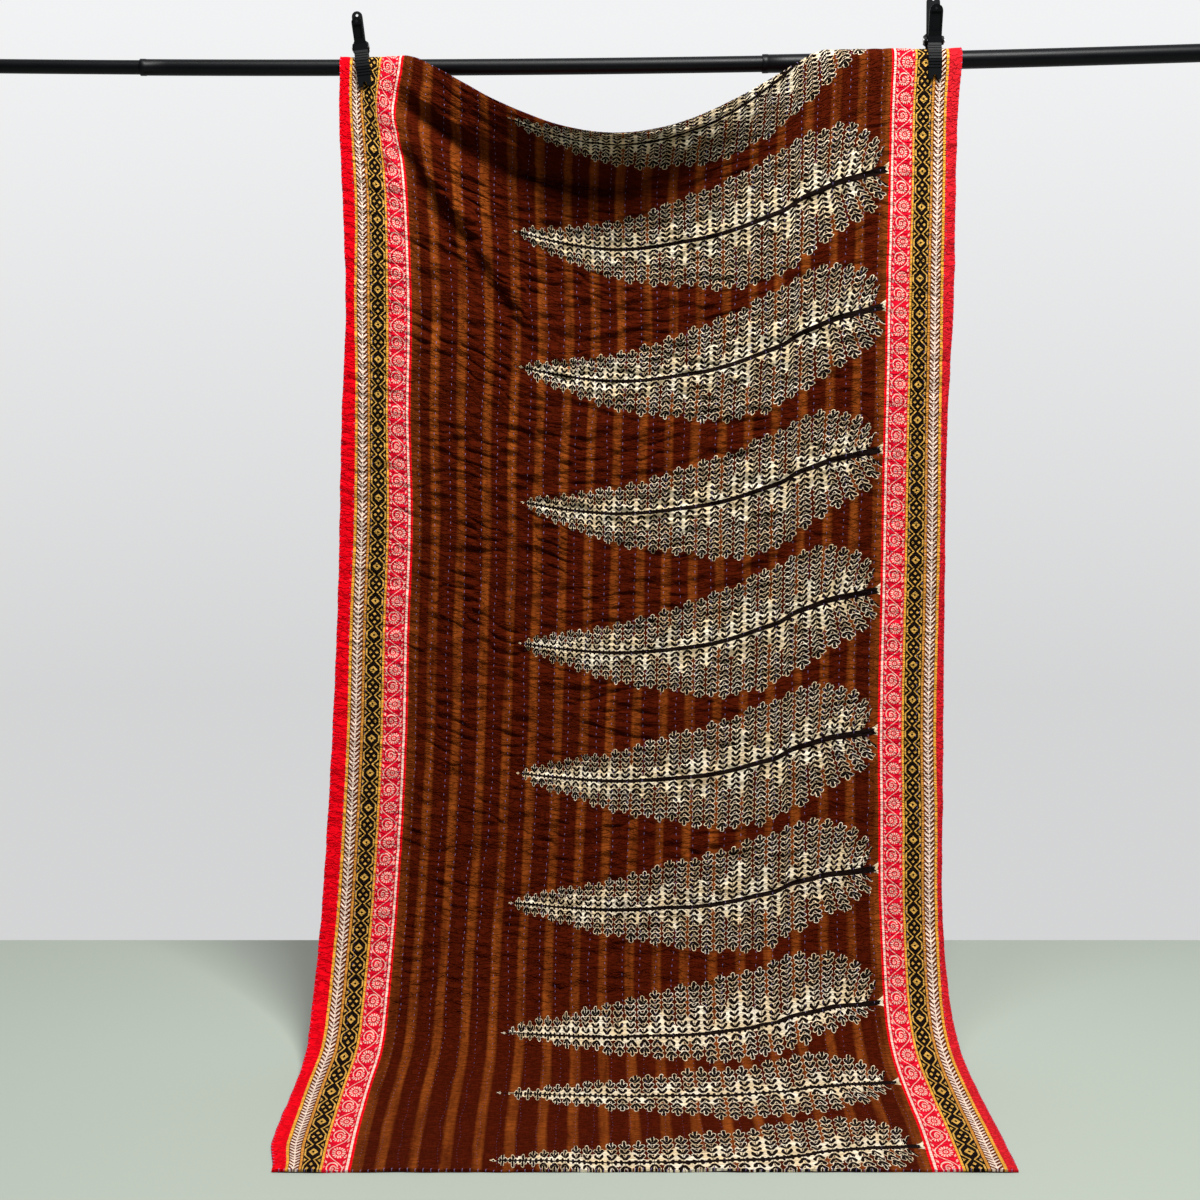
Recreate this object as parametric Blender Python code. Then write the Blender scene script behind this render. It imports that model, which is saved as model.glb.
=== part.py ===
"""Kantha quilt hung over a telescopic crossbar and held by two spring clamps.

Metres. +X runs along the crossbar, the quilt's face looks to -Y, and +Z is up.
The origin is on the crossbar's axis, halfway along the bar.
Positions across the quilt are called across (0 at its middle line), and positions
down its length are called along (0 at the top hem).
"""

import math
from typing import NamedTuple

import bmesh
import bpy
import numpy as np
from mathutils import Euler, Matrix, Vector

MM = 0.001
JOIN_GAP = 0.0004            # clearance between pieces that touch

# Crossbar: three tubes that slide into each other, thin to thick from left to right.
BAR_HALF_LENGTH = 1.20
BAR_RISE = 0.0108            # metres up for each metre to the right
BAR_DROOP = 0.0100           # curve of the bar's own sag, in 1/metre
BAR_SIDES = 20
SOCKET_DEPTH = 0.060         # how far one tube reaches into the next
SOCKET_FLOOR_GAP = 0.0005
MOUTH_BEVEL = 0.0006
BAR_SECTIONS = (
    # name, left end, right end, radius
    ("crossbar_thin", -BAR_HALF_LENGTH, -0.809, 0.01250),
    ("crossbar_middle", -0.809, 0.285, 0.01425),
    ("crossbar_thick", 0.285, BAR_HALF_LENGTH, 0.01600),
)
STATION_STEP = 0.15

# Quilt: one sheet of stitched cloth layers, size and thickness.
QUILT_WIDTH = 1.150
QUILT_LENGTH = 2.291
STITCH_ROWS = 38             # running-stitch rows along the length, all across the width
THICK_AT_STITCH = 0.0024
THICK_BETWEEN = 0.0034
REST_ON_BAR = 0.0009         # cloth to bar under the clamps
LIFT_OFF_BAR = 0.0022        # extra slack over the bar away from the clamps
FLAP = 0.042                 # cloth from the top hem to the bar's top line, at the clamps

# How steeply the cloth hangs: distance below the bar, degrees forward of straight down.
LEAN = (
    (0.00, 0.0), (0.75, 2.0), (1.00, 9.0), (1.25, 15.0), (1.45, 20.0),
    (1.60, 34.0), (1.74, 66.0), (1.88, 84.0), (2.00, 90.0), (2.60, 90.0),
)
# Where the two long edges hang: along, left edge, right edge.
EDGES = (
    (0.000, -0.456, 0.634), (0.072, -0.456, 0.634), (0.150, -0.458, 0.629), (0.305, -0.454, 0.627),
    (0.489, -0.451, 0.627), (0.674, -0.460, 0.620), (1.023, -0.470, 0.617), (1.371, -0.482, 0.609),
    (1.556, -0.489, 0.602), (1.747, -0.496, 0.604), (1.851, -0.495, 0.608), (1.942, -0.500, 0.615),
    (2.059, -0.504, 0.619), (2.291, -0.500, 0.620),
)
# The top hem sags between the clamps.
SAG_MIDDLE = -0.057          # across, where it hangs lowest
SAG_HALF_SPAN = 0.517
SAG_DEPTH = 0.198
SAG_FULLNESS = 1.85
SAG_QUICK_SHARE = 0.42       # part of the sag that is gone just below the hem
SAG_QUICK_LENGTH = 0.13
SAG_SLOW_LENGTH = 1.75       # the rest dies out down the hanging length
SAG_SLOW_POWER = 1.2
# The sagging hem leans forward and the cloth below it falls back under it.
LEAN_OUT = 0.095
LEAN_OUT_LENGTH = 0.135
LEAN_OUT_POWER = 1.6
LEAN_OUT_STARTS = 0.20       # share of the sag below which the hem still lies on the bar
FALL_BACK = 0.030
FALL_BACK_START = 0.10
FALL_BACK_LENGTH = 0.60
# Main drawn folds near the clamps, as soft troughs (-) and ridges (+):
# start across, start along, end across, end along, half width, height.
FOLDS = (
    (-0.470, 0.150, -0.330, 0.430, 0.022, -0.009),
    (-0.430, 0.170, -0.250, 0.420, 0.024, 0.009),
    (-0.400, 0.230, -0.210, 0.520, 0.022, -0.007),
    (-0.500, 0.130, -0.475, 0.330, 0.018, -0.006),
    (0.470, 0.140, 0.400, 0.420, 0.022, -0.006),
)
PINCH_ACROSS = -0.440        # the left border is drawn in just below its clamp
PINCH_ALONG = 0.115
PINCH_SHIFT = -0.014
PINCH_REACH = 0.060
CORNER_TUCK = 0.014          # the lower left corner is pulled in
CORNER_REACH = 0.060
# Rows of points down the quilt: end of each stretch, number of steps in it.
ROW_STRETCHES = ((0.0765, 9), (0.335, 8), (1.40, 8), (2.03, 8), (QUILT_LENGTH, 2))

# Clamps: two sizes of one design. Sizes in millimetres, converted when meshed.
# Local frame: x across the clamp, out = away from the middle plane, up from the bar's axis.
PIVOT_UP = 34.0
BLADE_HALF_WIDTH = 11.75
JAW_DROP = 33.0
JAW_FLARE = math.radians(6.0)
JAW_THICK = 6.5
RIB_COUNT = 9
RIB_HEIGHT = 1.1
RIB_PITCH = 5.0
ARC_LIFT = 1.5
HANDLE_SLOPE = 0.179         # how far a handle leans out for each millimetre up
HANDLE_THICK = 5.0
CHANNEL_MARGIN = 3.15        # from the finger channel to the handle's side
WAIST_IN = 8.2
WAIST_THICK = 5.0
CHANNEL_DEPTH = 2.4
HANG_HOLE_RADIUS = 2.4
FORK_HALF_GAP = 3.5
FORK_DEPTH = 9.0
EAR_RADIUS = 7.7
EAR_THICK = 3.0
INNER_EAR_FROM = 8.7
PIN_RADIUS = 2.5
PIN_HEAD_RADIUS = 4.2
WIRE_RADIUS = 0.9
SPRING_RADIUS = 3.9
SPRING_TURNS = 3
SPRING_HALF_WIDTH = 3.6
SPRING_LEG_UP = 26.0


class ClampSize(NamedTuple):
    """What differs between the two clamps, in millimetres."""
    handle_half: float
    front_top: float
    back_top: float
    outer_ear_from: float
    outer_ear_thick: float
    pin_head_thick: float


SLIM_CLAMP = ClampSize(9.3, 86.5, 97.6, 12.3, 1.6, 1.0)
WIDE_CLAMP = ClampSize(11.75, 95.7, 112.0, 13.2, 3.8, 1.6)
CLAMPS = (
    # name, place along the bar, lean to the left, lean forward, yaw (degrees), size
    ("clamp_left", -0.416, 7.0, 6.0, 2.0, SLIM_CLAMP),
    ("clamp_right", 0.586, 0.0, 6.0, 0.0, WIDE_CLAMP),
)
CLAMP_GRIP_REACH = 0.050     # how far along the bar a clamp presses the cloth down

COLOURS = {
    # slot: colour, metallic, roughness
    "quilt_cloth": ((0.19, 0.075, 0.035), 0.0, 0.85),
    "crossbar_black": ((0.015, 0.016, 0.018), 0.3, 0.38),
    "clamp_nylon": ((0.020, 0.022, 0.025), 0.0, 0.50),
    "clamp_steel": ((0.42, 0.42, 0.43), 1.0, 0.35),
}


def clear_scene():
    for thing in list(bpy.data.objects):
        bpy.data.objects.remove(thing, do_unlink=True)


def material(slot):
    """The slot's Principled material, made once."""
    found = bpy.data.materials.get(slot)
    if found:
        return found
    made = bpy.data.materials.new(slot)
    made.use_nodes = True
    shader = made.node_tree.nodes["Principled BSDF"]
    colour, metallic, roughness = COLOURS[slot]
    shader.inputs["Base Color"].default_value = (*colour, 1.0)
    shader.inputs["Metallic"].default_value = metallic
    shader.inputs["Roughness"].default_value = roughness
    return made


def add_object(name, points, faces, slot, smooth_deg=35.0):
    """A named object from points and faces, in its slot's material."""
    mesh = bpy.data.meshes.new(name)
    mesh.from_pydata([tuple(map(float, p)) for p in points], [], faces)
    mesh.validate()
    mesh.shade_smooth()
    mesh.set_sharp_from_angle(angle=math.radians(smooth_deg))
    thing = bpy.data.objects.new(name, mesh)
    bpy.context.scene.collection.objects.link(thing)
    thing.data.materials.append(material(slot))
    return thing


# ---------------------------------------------------------------- crossbar

def bar_height(x):
    """Height of the bar's axis at x: a slight rise to the right and a shallow sag."""
    return BAR_RISE * x + BAR_DROOP * x * x


def bar_radius(x):
    """The bar's radius under the quilt, blended over the step between two tubes."""
    middle = BAR_SECTIONS[1][3]
    thick = BAR_SECTIONS[2][3]
    return middle + (thick - middle) * ease((x + 0.05) / 0.30)


def make_bar_section(index):
    """A bar turned about the curved axis, with a socket where a thinner tube goes in."""
    name, left, right, radius = BAR_SECTIONS[index]
    outline = []
    if index > 0:
        bore = BAR_SECTIONS[index - 1][3] + JOIN_GAP
        floor = left + SOCKET_DEPTH + SOCKET_FLOOR_GAP
        outline += [(floor, 0.0), (floor, bore), (left, bore)]
    else:
        outline += [(left, 0.0)]
    outline += [(left, radius - MOUTH_BEVEL), (left + MOUTH_BEVEL, radius)]
    reach = right + (SOCKET_DEPTH if index < len(BAR_SECTIONS) - 1 else 0.0)
    steps = max(2, round((reach - left) / STATION_STEP))
    for step in range(1, steps):
        outline.append((left + (reach - left) * step / steps, radius))
    outline += [(reach - MOUTH_BEVEL, radius), (reach, radius - MOUTH_BEVEL), (reach, 0.0)]
    return turned(name, outline, "crossbar_black", BAR_SIDES, bar_height)


def turned(name, outline, slot, sides, lift=None):
    """Turn an outline of (x, radius) pairs about an axis along X.

    The first and last pairs have radius 0 and become the centres of the end faces.
    lift(x) raises the axis at x, for a bar that isn't quite straight.
    """
    points = []
    for x, radius in outline:
        up = lift(x) if lift else 0.0
        count = sides if radius > 0.0 else 1
        for k in range(count):
            turn = 2.0 * math.pi * k / sides
            points.append((x, radius * math.cos(turn), up + radius * math.sin(turn)))
    faces = []
    last = len(points) - 1
    for k in range(sides):
        following = (k + 1) % sides
        faces.append((0, 1 + following, 1 + k))
        faces.append((last, last - sides + k, last - sides + following))
    for ring in range(len(outline) - 3):
        start = 1 + ring * sides
        for k in range(sides):
            following = (k + 1) % sides
            faces.append((start + k, start + following, start + sides + following, start + sides + k))
    return add_object(name, points, faces, slot)


# ---------------------------------------------------------------- quilt

def ease(t):
    """0 to 1 with flat ends, for t from 0 to 1."""
    t = np.clip(t, 0.0, 1.0)
    return t * t * (3.0 - 2.0 * t)


def smooth_table(rows, column, at):
    """Read a table's column at the given places, on a smooth curve through its rows."""
    table = np.array(rows, dtype=float)
    place = table[:, 0]
    value = table[:, column]
    slope = np.gradient(value, place)
    k = np.clip(np.searchsorted(place, at, side="right") - 1, 0, len(place) - 2)
    span = place[k + 1] - place[k]
    t = np.clip((at - place[k]) / span, 0.0, 1.0)
    blend = t * t * (3.0 - 2.0 * t)
    bend = t * (1.0 - t) * span * ((1.0 - t) * slope[k] - t * slope[k + 1])
    return value[k] * (1.0 - blend) + value[k + 1] * blend + bend


def hanging_profile():
    """Distance below the bar, forward reach and height, summed from the lean angles."""
    below = np.linspace(0.0, 2.45, 2451)
    table = np.array(LEAN)
    angle = np.radians(np.interp(below, table[:, 0], table[:, 1]))
    step = below[1] - below[0]
    forward = np.concatenate([[0.0], np.cumsum(np.sin(angle[:-1]) * step)])
    height = -np.concatenate([[0.0], np.cumsum(np.cos(angle[:-1]) * step)])
    return below, forward, height


def sag_share(across):
    """1 where the top hem hangs lowest, 0 at the clamps."""
    q = np.clip((across - SAG_MIDDLE) / SAG_HALF_SPAN, -1.0, 1.0)
    return (1.0 - q * q) ** SAG_FULLNESS


def slide_down(across, along):
    """How far the sag carries the cloth down its own hanging line."""
    quick = SAG_QUICK_SHARE * np.exp(-along / SAG_QUICK_LENGTH)
    left = np.clip(1.0 - along / SAG_SLOW_LENGTH, 0.0, 1.0)
    slow = (1.0 - SAG_QUICK_SHARE) * left ** SAG_SLOW_POWER
    return SAG_DEPTH * sag_share(across) * (quick + slow)


def lean_out(across, along):
    """How far the cloth stands forward (+) or back (-) of the hanging line in the sag."""
    share = np.clip((sag_share(across) - LEAN_OUT_STARTS) / (1.0 - LEAN_OUT_STARTS), 0.0, 1.0)
    down = np.clip(along, 0.0, None) / LEAN_OUT_LENGTH
    hem = LEAN_OUT * np.exp(-(down ** LEAN_OUT_POWER))
    under = ease(along / FALL_BACK_START - 0.6) * np.exp(-along / FALL_BACK_LENGTH)
    return share ** 1.3 * (hem - FALL_BACK * under)


def grip(x):
    """1 where a clamp presses the cloth onto the bar, 0 away from both clamps."""
    press = np.zeros_like(x)
    for _name, place, *_rest in CLAMPS:
        press = np.maximum(press, 1.0 - ease(np.abs(x - place) / CLAMP_GRIP_REACH - 0.4))
    return press


def fold_relief(across, along):
    """Sum of the drawn folds: each a soft trough or ridge along a straight run."""
    relief = np.zeros_like(across)
    for from_a, from_l, to_a, to_l, half_width, height in FOLDS:
        run_a = to_a - from_a
        run_l = to_l - from_l
        length = math.hypot(run_a, run_l)
        t = ((across - from_a) * run_a + (along - from_l) * run_l) / length ** 2
        off = ((across - from_a) * run_l - (along - from_l) * run_a) / length
        ends = ease((t + 0.15) / 0.4) * ease((1.15 - t) / 0.5)
        relief += height * ends * np.exp(-((off / half_width) ** 2))
    return relief


def drape(across, along):
    """Middle surface of the hanging quilt, as x, y and z arrays.

    Each place is carried along a guide line: up behind the bar, over it, down the front
    and out over the floor. The sag slides it further along that line and leans it out.
    """
    left = smooth_table(EDGES, 1, along)
    right = smooth_table(EDGES, 2, along)
    share = across / QUILT_WIDTH + 0.5
    x = left + (right - left) * share
    pull = np.exp(-((along - PINCH_ALONG) / PINCH_REACH) ** 2)
    x = x + PINCH_SHIFT * pull * np.exp(-((across - PINCH_ACROSS) / PINCH_REACH) ** 2)
    corner = ease((along - QUILT_LENGTH + 0.12) / 0.12)
    x = x + CORNER_TUCK * corner * np.exp(-((across + 0.5 * QUILT_WIDTH) / CORNER_REACH) ** 2)

    slack = REST_ON_BAR + LIFT_OFF_BAR * (1.0 - grip(x))
    wrap = bar_radius(x) + slack + 0.5 * THICK_BETWEEN
    travel = along - FLAP + slide_down(across, along)
    turn = np.clip(travel / wrap, -0.5 * math.pi, 0.5 * math.pi)
    past_front = np.clip(travel - 0.5 * math.pi * wrap, 0.0, None)
    past_back = np.clip(-travel - 0.5 * math.pi * wrap, 0.0, None)
    below, reach, height = hanging_profile()
    forward = wrap * np.sin(turn) + np.interp(past_front, below, reach)
    forward = forward + lean_out(across, along) + fold_relief(across, along)
    up = wrap * np.cos(turn) + np.interp(past_front, below, height) - past_back
    up = up + bar_height(x) * (1.0 - ease(past_front / 1.6))
    return x, -forward, up


def row_places():
    """Where the rows of points lie down the quilt, close together over the bar."""
    places = [0.0]
    for end, steps in ROW_STRETCHES:
        start = places[-1]
        places += [start + (end - start) * (k + 1) / steps for k in range(steps)]
    return np.array(places)


def make_quilt():
    """The quilt as one closed sheet, puffed between its stitch rows."""
    channels = STITCH_ROWS + 1
    columns = np.linspace(-0.5, 0.5, 2 * channels + 1) * QUILT_WIDTH
    rows = row_places()
    across, along = np.meshgrid(columns, rows)
    x, y, z = drape(across, along)
    normal = surface_normals(across, along)
    puffed = np.arange(len(columns)) % 2 == 1
    half = np.where(puffed, 0.5 * THICK_BETWEEN, 0.5 * THICK_AT_STITCH)[None, :]
    middle = np.stack([x, y, z], axis=-1)
    face = middle + normal * half[..., None]
    back = middle - normal * half[..., None]
    back[..., 2] = np.maximum(back[..., 2], floor_level())
    return sheet_object("quilt", face, back, "quilt_cloth")


def floor_level():
    """The floor that the lower end lies on: half a cloth below the guide line's end."""
    _below, _reach, height = hanging_profile()
    return height[-1] - 0.5 * THICK_BETWEEN


def surface_normals(across, along):
    """Unit normals of the middle surface, towards the printed face."""
    nudge = 0.0005
    ax, ay, az = drape(across + nudge, along)
    bx, by, bz = drape(across - nudge, along)
    cx, cy, cz = drape(across, along + nudge)
    dx, dy, dz = drape(across, along - nudge)
    over = np.stack([ax - bx, ay - by, az - bz], axis=-1)
    down = np.stack([cx - dx, cy - dy, cz - dz], axis=-1)
    normal = np.cross(down, over)
    return normal / np.linalg.norm(normal, axis=-1, keepdims=True)


def sheet_object(name, face, back, slot):
    """Close a face grid and a back grid into one solid with a rim."""
    rows, columns, _three = face.shape
    points = np.concatenate([face.reshape(-1, 3), back.reshape(-1, 3)])
    count = rows * columns
    faces = []
    for r in range(rows - 1):
        for c in range(columns - 1):
            a = r * columns + c
            faces.append((a, a + columns, a + columns + 1, a + 1))
            faces.append((count + a, count + a + 1, count + a + columns + 1, count + a + columns))
    rim = [c for c in range(columns)]
    rim += [r * columns + columns - 1 for r in range(1, rows)]
    rim += [(rows - 1) * columns + c for c in range(columns - 2, -1, -1)]
    rim += [r * columns for r in range(rows - 2, 0, -1)]
    for k, a in enumerate(rim):
        b = rim[(k + 1) % len(rim)]
        faces.append((a, b, count + b, count + a))
    return add_object(name, points, faces, slot, smooth_deg=60.0)


# ---------------------------------------------------------------- clamps

def prism(name, outline, low, high, plane):
    """Extrude a closed outline, in millimetres, into a cutter or blank.

    plane "side": outline is (out, up) and the prism runs across the clamp.
    plane "front": outline is (across, up) and the prism runs through it.
    """
    count = len(outline)
    points = []
    for level in (low, high):
        for a, b in outline:
            point = (level, a, b) if plane == "side" else (a, level, b)
            points.append(Vector(point) * MM)
    sides = [(k, (k + 1) % count, count + (k + 1) % count, count + k) for k in range(count)]
    caps = [tuple(range(count))[::-1], tuple(range(count, 2 * count))]
    thing = add_object(name, points, sides + caps, "clamp_nylon")
    outward(thing)
    return thing


def outward(thing):
    """Turn every face of a closed mesh to point out."""
    shell = bmesh.new()
    shell.from_mesh(thing.data)
    bmesh.ops.recalc_face_normals(shell, faces=shell.faces)
    shell.to_mesh(thing.data)
    shell.free()


def combine(thing, other, operation):
    """Apply one exact Boolean and delete the second shape."""
    step = thing.modifiers.new(operation, "BOOLEAN")
    step.operation = operation
    step.solver = "EXACT"
    step.object = other
    view = bpy.context.evaluated_depsgraph_get()
    result = bpy.data.meshes.new_from_object(thing.evaluated_get(view))
    thing.modifiers.remove(step)
    thing.data = result
    bpy.data.objects.remove(other, do_unlink=True)


def jaw_radius(place, yaw):
    """Inside radius of a clamp's jaw in millimetres: bar, cloth, clearance and its skew."""
    cloth = float(bar_radius(np.array(place))) + REST_ON_BAR + THICK_BETWEEN
    skew = BLADE_HALF_WIDTH * math.sin(math.radians(yaw))
    return (cloth + JOIN_GAP) / MM + skew


def handle_out(up):
    """How far out the inner face of a handle is at a height."""
    return WAIST_IN + HANDLE_SLOPE * (up - PIVOT_UP - 7.0)


def half_outline(radius, top):
    """Side outline of one clamp half as (out, up): tip, jaw arc, waist, handle, and back."""
    flare = math.tan(JAW_FLARE)
    inner = [(radius + JAW_DROP * flare, -JAW_DROP), (radius, 0.0)]
    for degrees in (15.0, 30.0, 42.0, 52.0):
        turn = math.radians(degrees)
        inner.append((radius * math.cos(turn), radius * math.sin(turn) + ARC_LIFT))
    inner += [(WAIST_IN, PIVOT_UP - 8.0), (WAIST_IN, PIVOT_UP + 7.0)]
    inner += [(handle_out(top), top)]
    outer = [(handle_out(top) + HANDLE_THICK, top), (WAIST_IN + WAIST_THICK, PIVOT_UP + 7.0)]
    return inner + outer + ribbed_back(radius)


def ribbed_back(radius):
    """The jaw's outer side from waist to tip, with ribs across it."""
    flare = math.tan(JAW_FLARE)
    spine = [
        (WAIST_IN + WAIST_THICK, PIVOT_UP - 4.0),
        (radius * 0.80 + JAW_THICK, 15.0),
        (radius + JAW_THICK, 3.0),
        (radius + JAW_THICK + 25.0 * flare, -25.0),
    ]
    lengths = [0.0]
    for (a, b), (c, d) in zip(spine, spine[1:]):
        lengths.append(lengths[-1] + math.hypot(c - a, d - b))
    outline = [spine[0]]
    for rib in range(RIB_COUNT):
        start = 3.0 + rib * RIB_PITCH
        for along, rise in ((0.0, 0.0), (0.7, RIB_HEIGHT), (2.4, RIB_HEIGHT), (3.1, 0.0)):
            outline.append(off_spine(spine, lengths, start + along, rise))
    outline.append((radius + JAW_THICK - 1.0 + JAW_DROP * flare, -JAW_DROP + 1.5))
    outline.append((radius + 2.5 + JAW_DROP * flare, -JAW_DROP))
    return outline


def off_spine(spine, lengths, along, rise):
    """A point a given length down a run of straight lines, raised off it to its outer side."""
    k = max(i for i in range(len(spine) - 1) if lengths[i] <= along)
    (a, b), (c, d) = spine[k], spine[k + 1]
    span = lengths[k + 1] - lengths[k]
    t = (along - lengths[k]) / span
    normal = (-(d - b) / span, (c - a) / span)
    return (a + (c - a) * t + normal[0] * rise, b + (d - b) * t + normal[1] * rise)


def front_outline(handle_half, top, shoulder):
    """Front view of one half: round handle end, waist shoulders, and the jaw."""
    wide = BLADE_HALF_WIDTH
    outline = []
    for k in range(9):
        turn = math.pi * k / 8.0
        up = top - 0.2 - handle_half * (1.0 - math.sin(turn))
        outline.append((handle_half * math.cos(turn), up))
    profile = [(handle_half, PIVOT_UP + 12.0), (shoulder, PIVOT_UP + 7.5), (shoulder, PIVOT_UP - 7.0)]
    profile += [(wide, PIVOT_UP - 11.0), (wide, -JAW_DROP + 7.0), (wide - 1.5, -JAW_DROP - 1.0)]
    outline += [(-a, b) for a, b in profile]
    outline += profile[::-1]
    return outline


def round_outline(centre_out, centre_up, radius, sides):
    """A regular outline around a centre."""
    turns = [2.0 * math.pi * (k + 0.5) / sides for k in range(sides)]
    return [(centre_out + radius * math.cos(t), centre_up + radius * math.sin(t)) for t in turns]


def ear_outline():
    """Side outline of an ear: round about the pivot, reaching into the blade."""
    outline = []
    for k in range(9):
        turn = math.radians(90.0 + 180.0 * k / 8.0)
        outline.append((EAR_RADIUS * math.cos(turn), PIVOT_UP + EAR_RADIUS * math.sin(turn)))
    outline += [(WAIST_IN + 1.0, PIVOT_UP - 7.0), (WAIST_IN + 2.5, PIVOT_UP + 6.5)]
    return outline


def make_half(name, radius, handle_half, top, ear_from, ear_thick, shoulder):
    """One clamp half: blade, ears, finger channel, hanging hole and forked tip."""
    half = prism(name, half_outline(radius, top), -40.0, 40.0, "side")
    blank = prism("blank", front_outline(handle_half, top, shoulder), -60.0, 60.0, "front")
    combine(half, blank, "INTERSECT")
    for low in (ear_from, -ear_from - ear_thick):
        combine(half, prism("ear", ear_outline(), low, low + ear_thick, "side"), "UNION")
    low, high = PIVOT_UP + 16.0, top - 13.0
    face_low = handle_out(low) + HANDLE_THICK
    face_high = handle_out(high) + HANDLE_THICK
    channel = [(face_low - CHANNEL_DEPTH, low), (face_low + 4.0, low)]
    channel += [(face_high + 4.0, high), (face_high - CHANNEL_DEPTH, high)]
    channel_half = handle_half - CHANNEL_MARGIN
    cutter = prism("channel", channel, -channel_half, channel_half, "side")
    combine(half, cutter, "DIFFERENCE")
    hole = round_outline(0.0, top - 7.5, HANG_HOLE_RADIUS, 12)
    combine(half, prism("hole", hole, -60.0, 60.0, "front"), "DIFFERENCE")
    fork = [(-FORK_HALF_GAP, -JAW_DROP - 5.0), (FORK_HALF_GAP, -JAW_DROP - 5.0)]
    fork += [(FORK_HALF_GAP, -JAW_DROP + FORK_DEPTH - 2.0), (0.0, -JAW_DROP + FORK_DEPTH)]
    fork += [(-FORK_HALF_GAP, -JAW_DROP + FORK_DEPTH - 2.0)]
    combine(half, prism("fork", fork, -60.0, 60.0, "front"), "DIFFERENCE")
    bore = round_outline(0.0, PIVOT_UP, PIN_RADIUS + JOIN_GAP / MM, 12)
    combine(half, prism("bore", bore, -40.0, 40.0, "side"), "DIFFERENCE")
    half.name = name
    return half


def make_pin(name, size):
    """Pivot pin with a flat head at each end, outside the outer ears."""
    inside = size.outer_ear_from + size.outer_ear_thick + JOIN_GAP / MM
    outside = inside + size.pin_head_thick
    outline = [(-outside, 0.0), (-outside, PIN_HEAD_RADIUS), (-inside, PIN_HEAD_RADIUS)]
    outline += [(-inside, PIN_RADIUS), (inside, PIN_RADIUS)]
    outline += [(inside, PIN_HEAD_RADIUS), (outside, PIN_HEAD_RADIUS), (outside, 0.0)]
    outline = [(x * MM, radius * MM) for x, radius in outline]
    pin = turned(name, outline, "clamp_steel", 12)
    pin.data.transform(Matrix.Translation((0.0, 0.0, PIVOT_UP * MM)))
    return pin


def make_spring(name):
    """Torsion spring: a coil round the pin with a leg up the inside of each handle."""
    leg_up = PIVOT_UP + SPRING_LEG_UP
    leg_out = handle_out(leg_up) - WIRE_RADIUS - 0.4
    total = 2.0 * math.pi * SPRING_TURNS + math.pi
    steps = 10 * SPRING_TURNS + 5
    route = [(SPRING_HALF_WIDTH, leg_out, leg_up)]
    for k in range(steps + 1):
        turn = -total * k / steps
        x = SPRING_HALF_WIDTH * (1.0 - 2.0 * k / steps)
        out = SPRING_RADIUS * math.cos(turn)
        route.append((x, out, PIVOT_UP + SPRING_RADIUS * math.sin(turn)))
    route.append((-SPRING_HALF_WIDTH, -leg_out, leg_up))
    curve = bpy.data.curves.new(name, "CURVE")
    curve.dimensions = "3D"
    curve.bevel_depth = WIRE_RADIUS * MM
    curve.bevel_resolution = 1
    curve.use_fill_caps = True
    spline = curve.splines.new("POLY")
    spline.points.add(len(route) - 1)
    for point, place in zip(spline.points, route):
        point.co = (*(Vector(place) * MM), 1.0)
    curve.materials.append(material("clamp_steel"))
    spring = bpy.data.objects.new(name, curve)
    bpy.context.scene.collection.objects.link(spring)
    return spring


def make_clamp(name, place, lean_left, lean_forward, yaw, size):
    """One spring clamp set on the bar: two halves, their pin and their spring."""
    holder = bpy.data.objects.new(name, None)
    bpy.context.scene.collection.objects.link(holder)
    radius = jaw_radius(place, yaw)
    shoulder = size.outer_ear_from + size.outer_ear_thick
    pieces = [
        make_half(name + "_back", radius, size.handle_half, size.back_top,
                  size.outer_ear_from, size.outer_ear_thick, shoulder),
        make_half(name + "_front", radius, size.handle_half, size.front_top,
                  INNER_EAR_FROM, EAR_THICK, BLADE_HALF_WIDTH),
        make_pin(name + "_pin", size),
        make_spring(name + "_spring"),
    ]
    pieces[1].data.transform(Matrix.Scale(-1.0, 4, (0.0, 1.0, 0.0)))
    pieces[1].data.flip_normals()
    for piece in pieces:
        piece.parent = holder
    holder.location = (place, 0.0, float(bar_height(place)))
    angles = [math.radians(a) for a in (lean_forward, -lean_left, yaw)]
    holder.rotation_euler = Euler(angles, "XYZ")


def main():
    clear_scene()
    for index in range(len(BAR_SECTIONS)):
        make_bar_section(index)
    make_quilt()
    for clamp in CLAMPS:
        make_clamp(*clamp)
    bpy.context.view_layer.update()


main()
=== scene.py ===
# %% [markdown]
# # A kantha quilt on a crossbar
# A kantha is made from worn saris: layers of thin printed cotton are laid on each other and sewn
# through with rows of running stitch from end to end. This one hangs over a telescopic bar,
# held by two spring clamps, and its lower end lies on the floor. The solids come from the CAD
# frame. This lesson dresses them: the hanging cloth with its puckers, the printed pattern, the
# thread, the bar's tubes and the clamps' finish.

# %% Load the frame
import math

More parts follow.
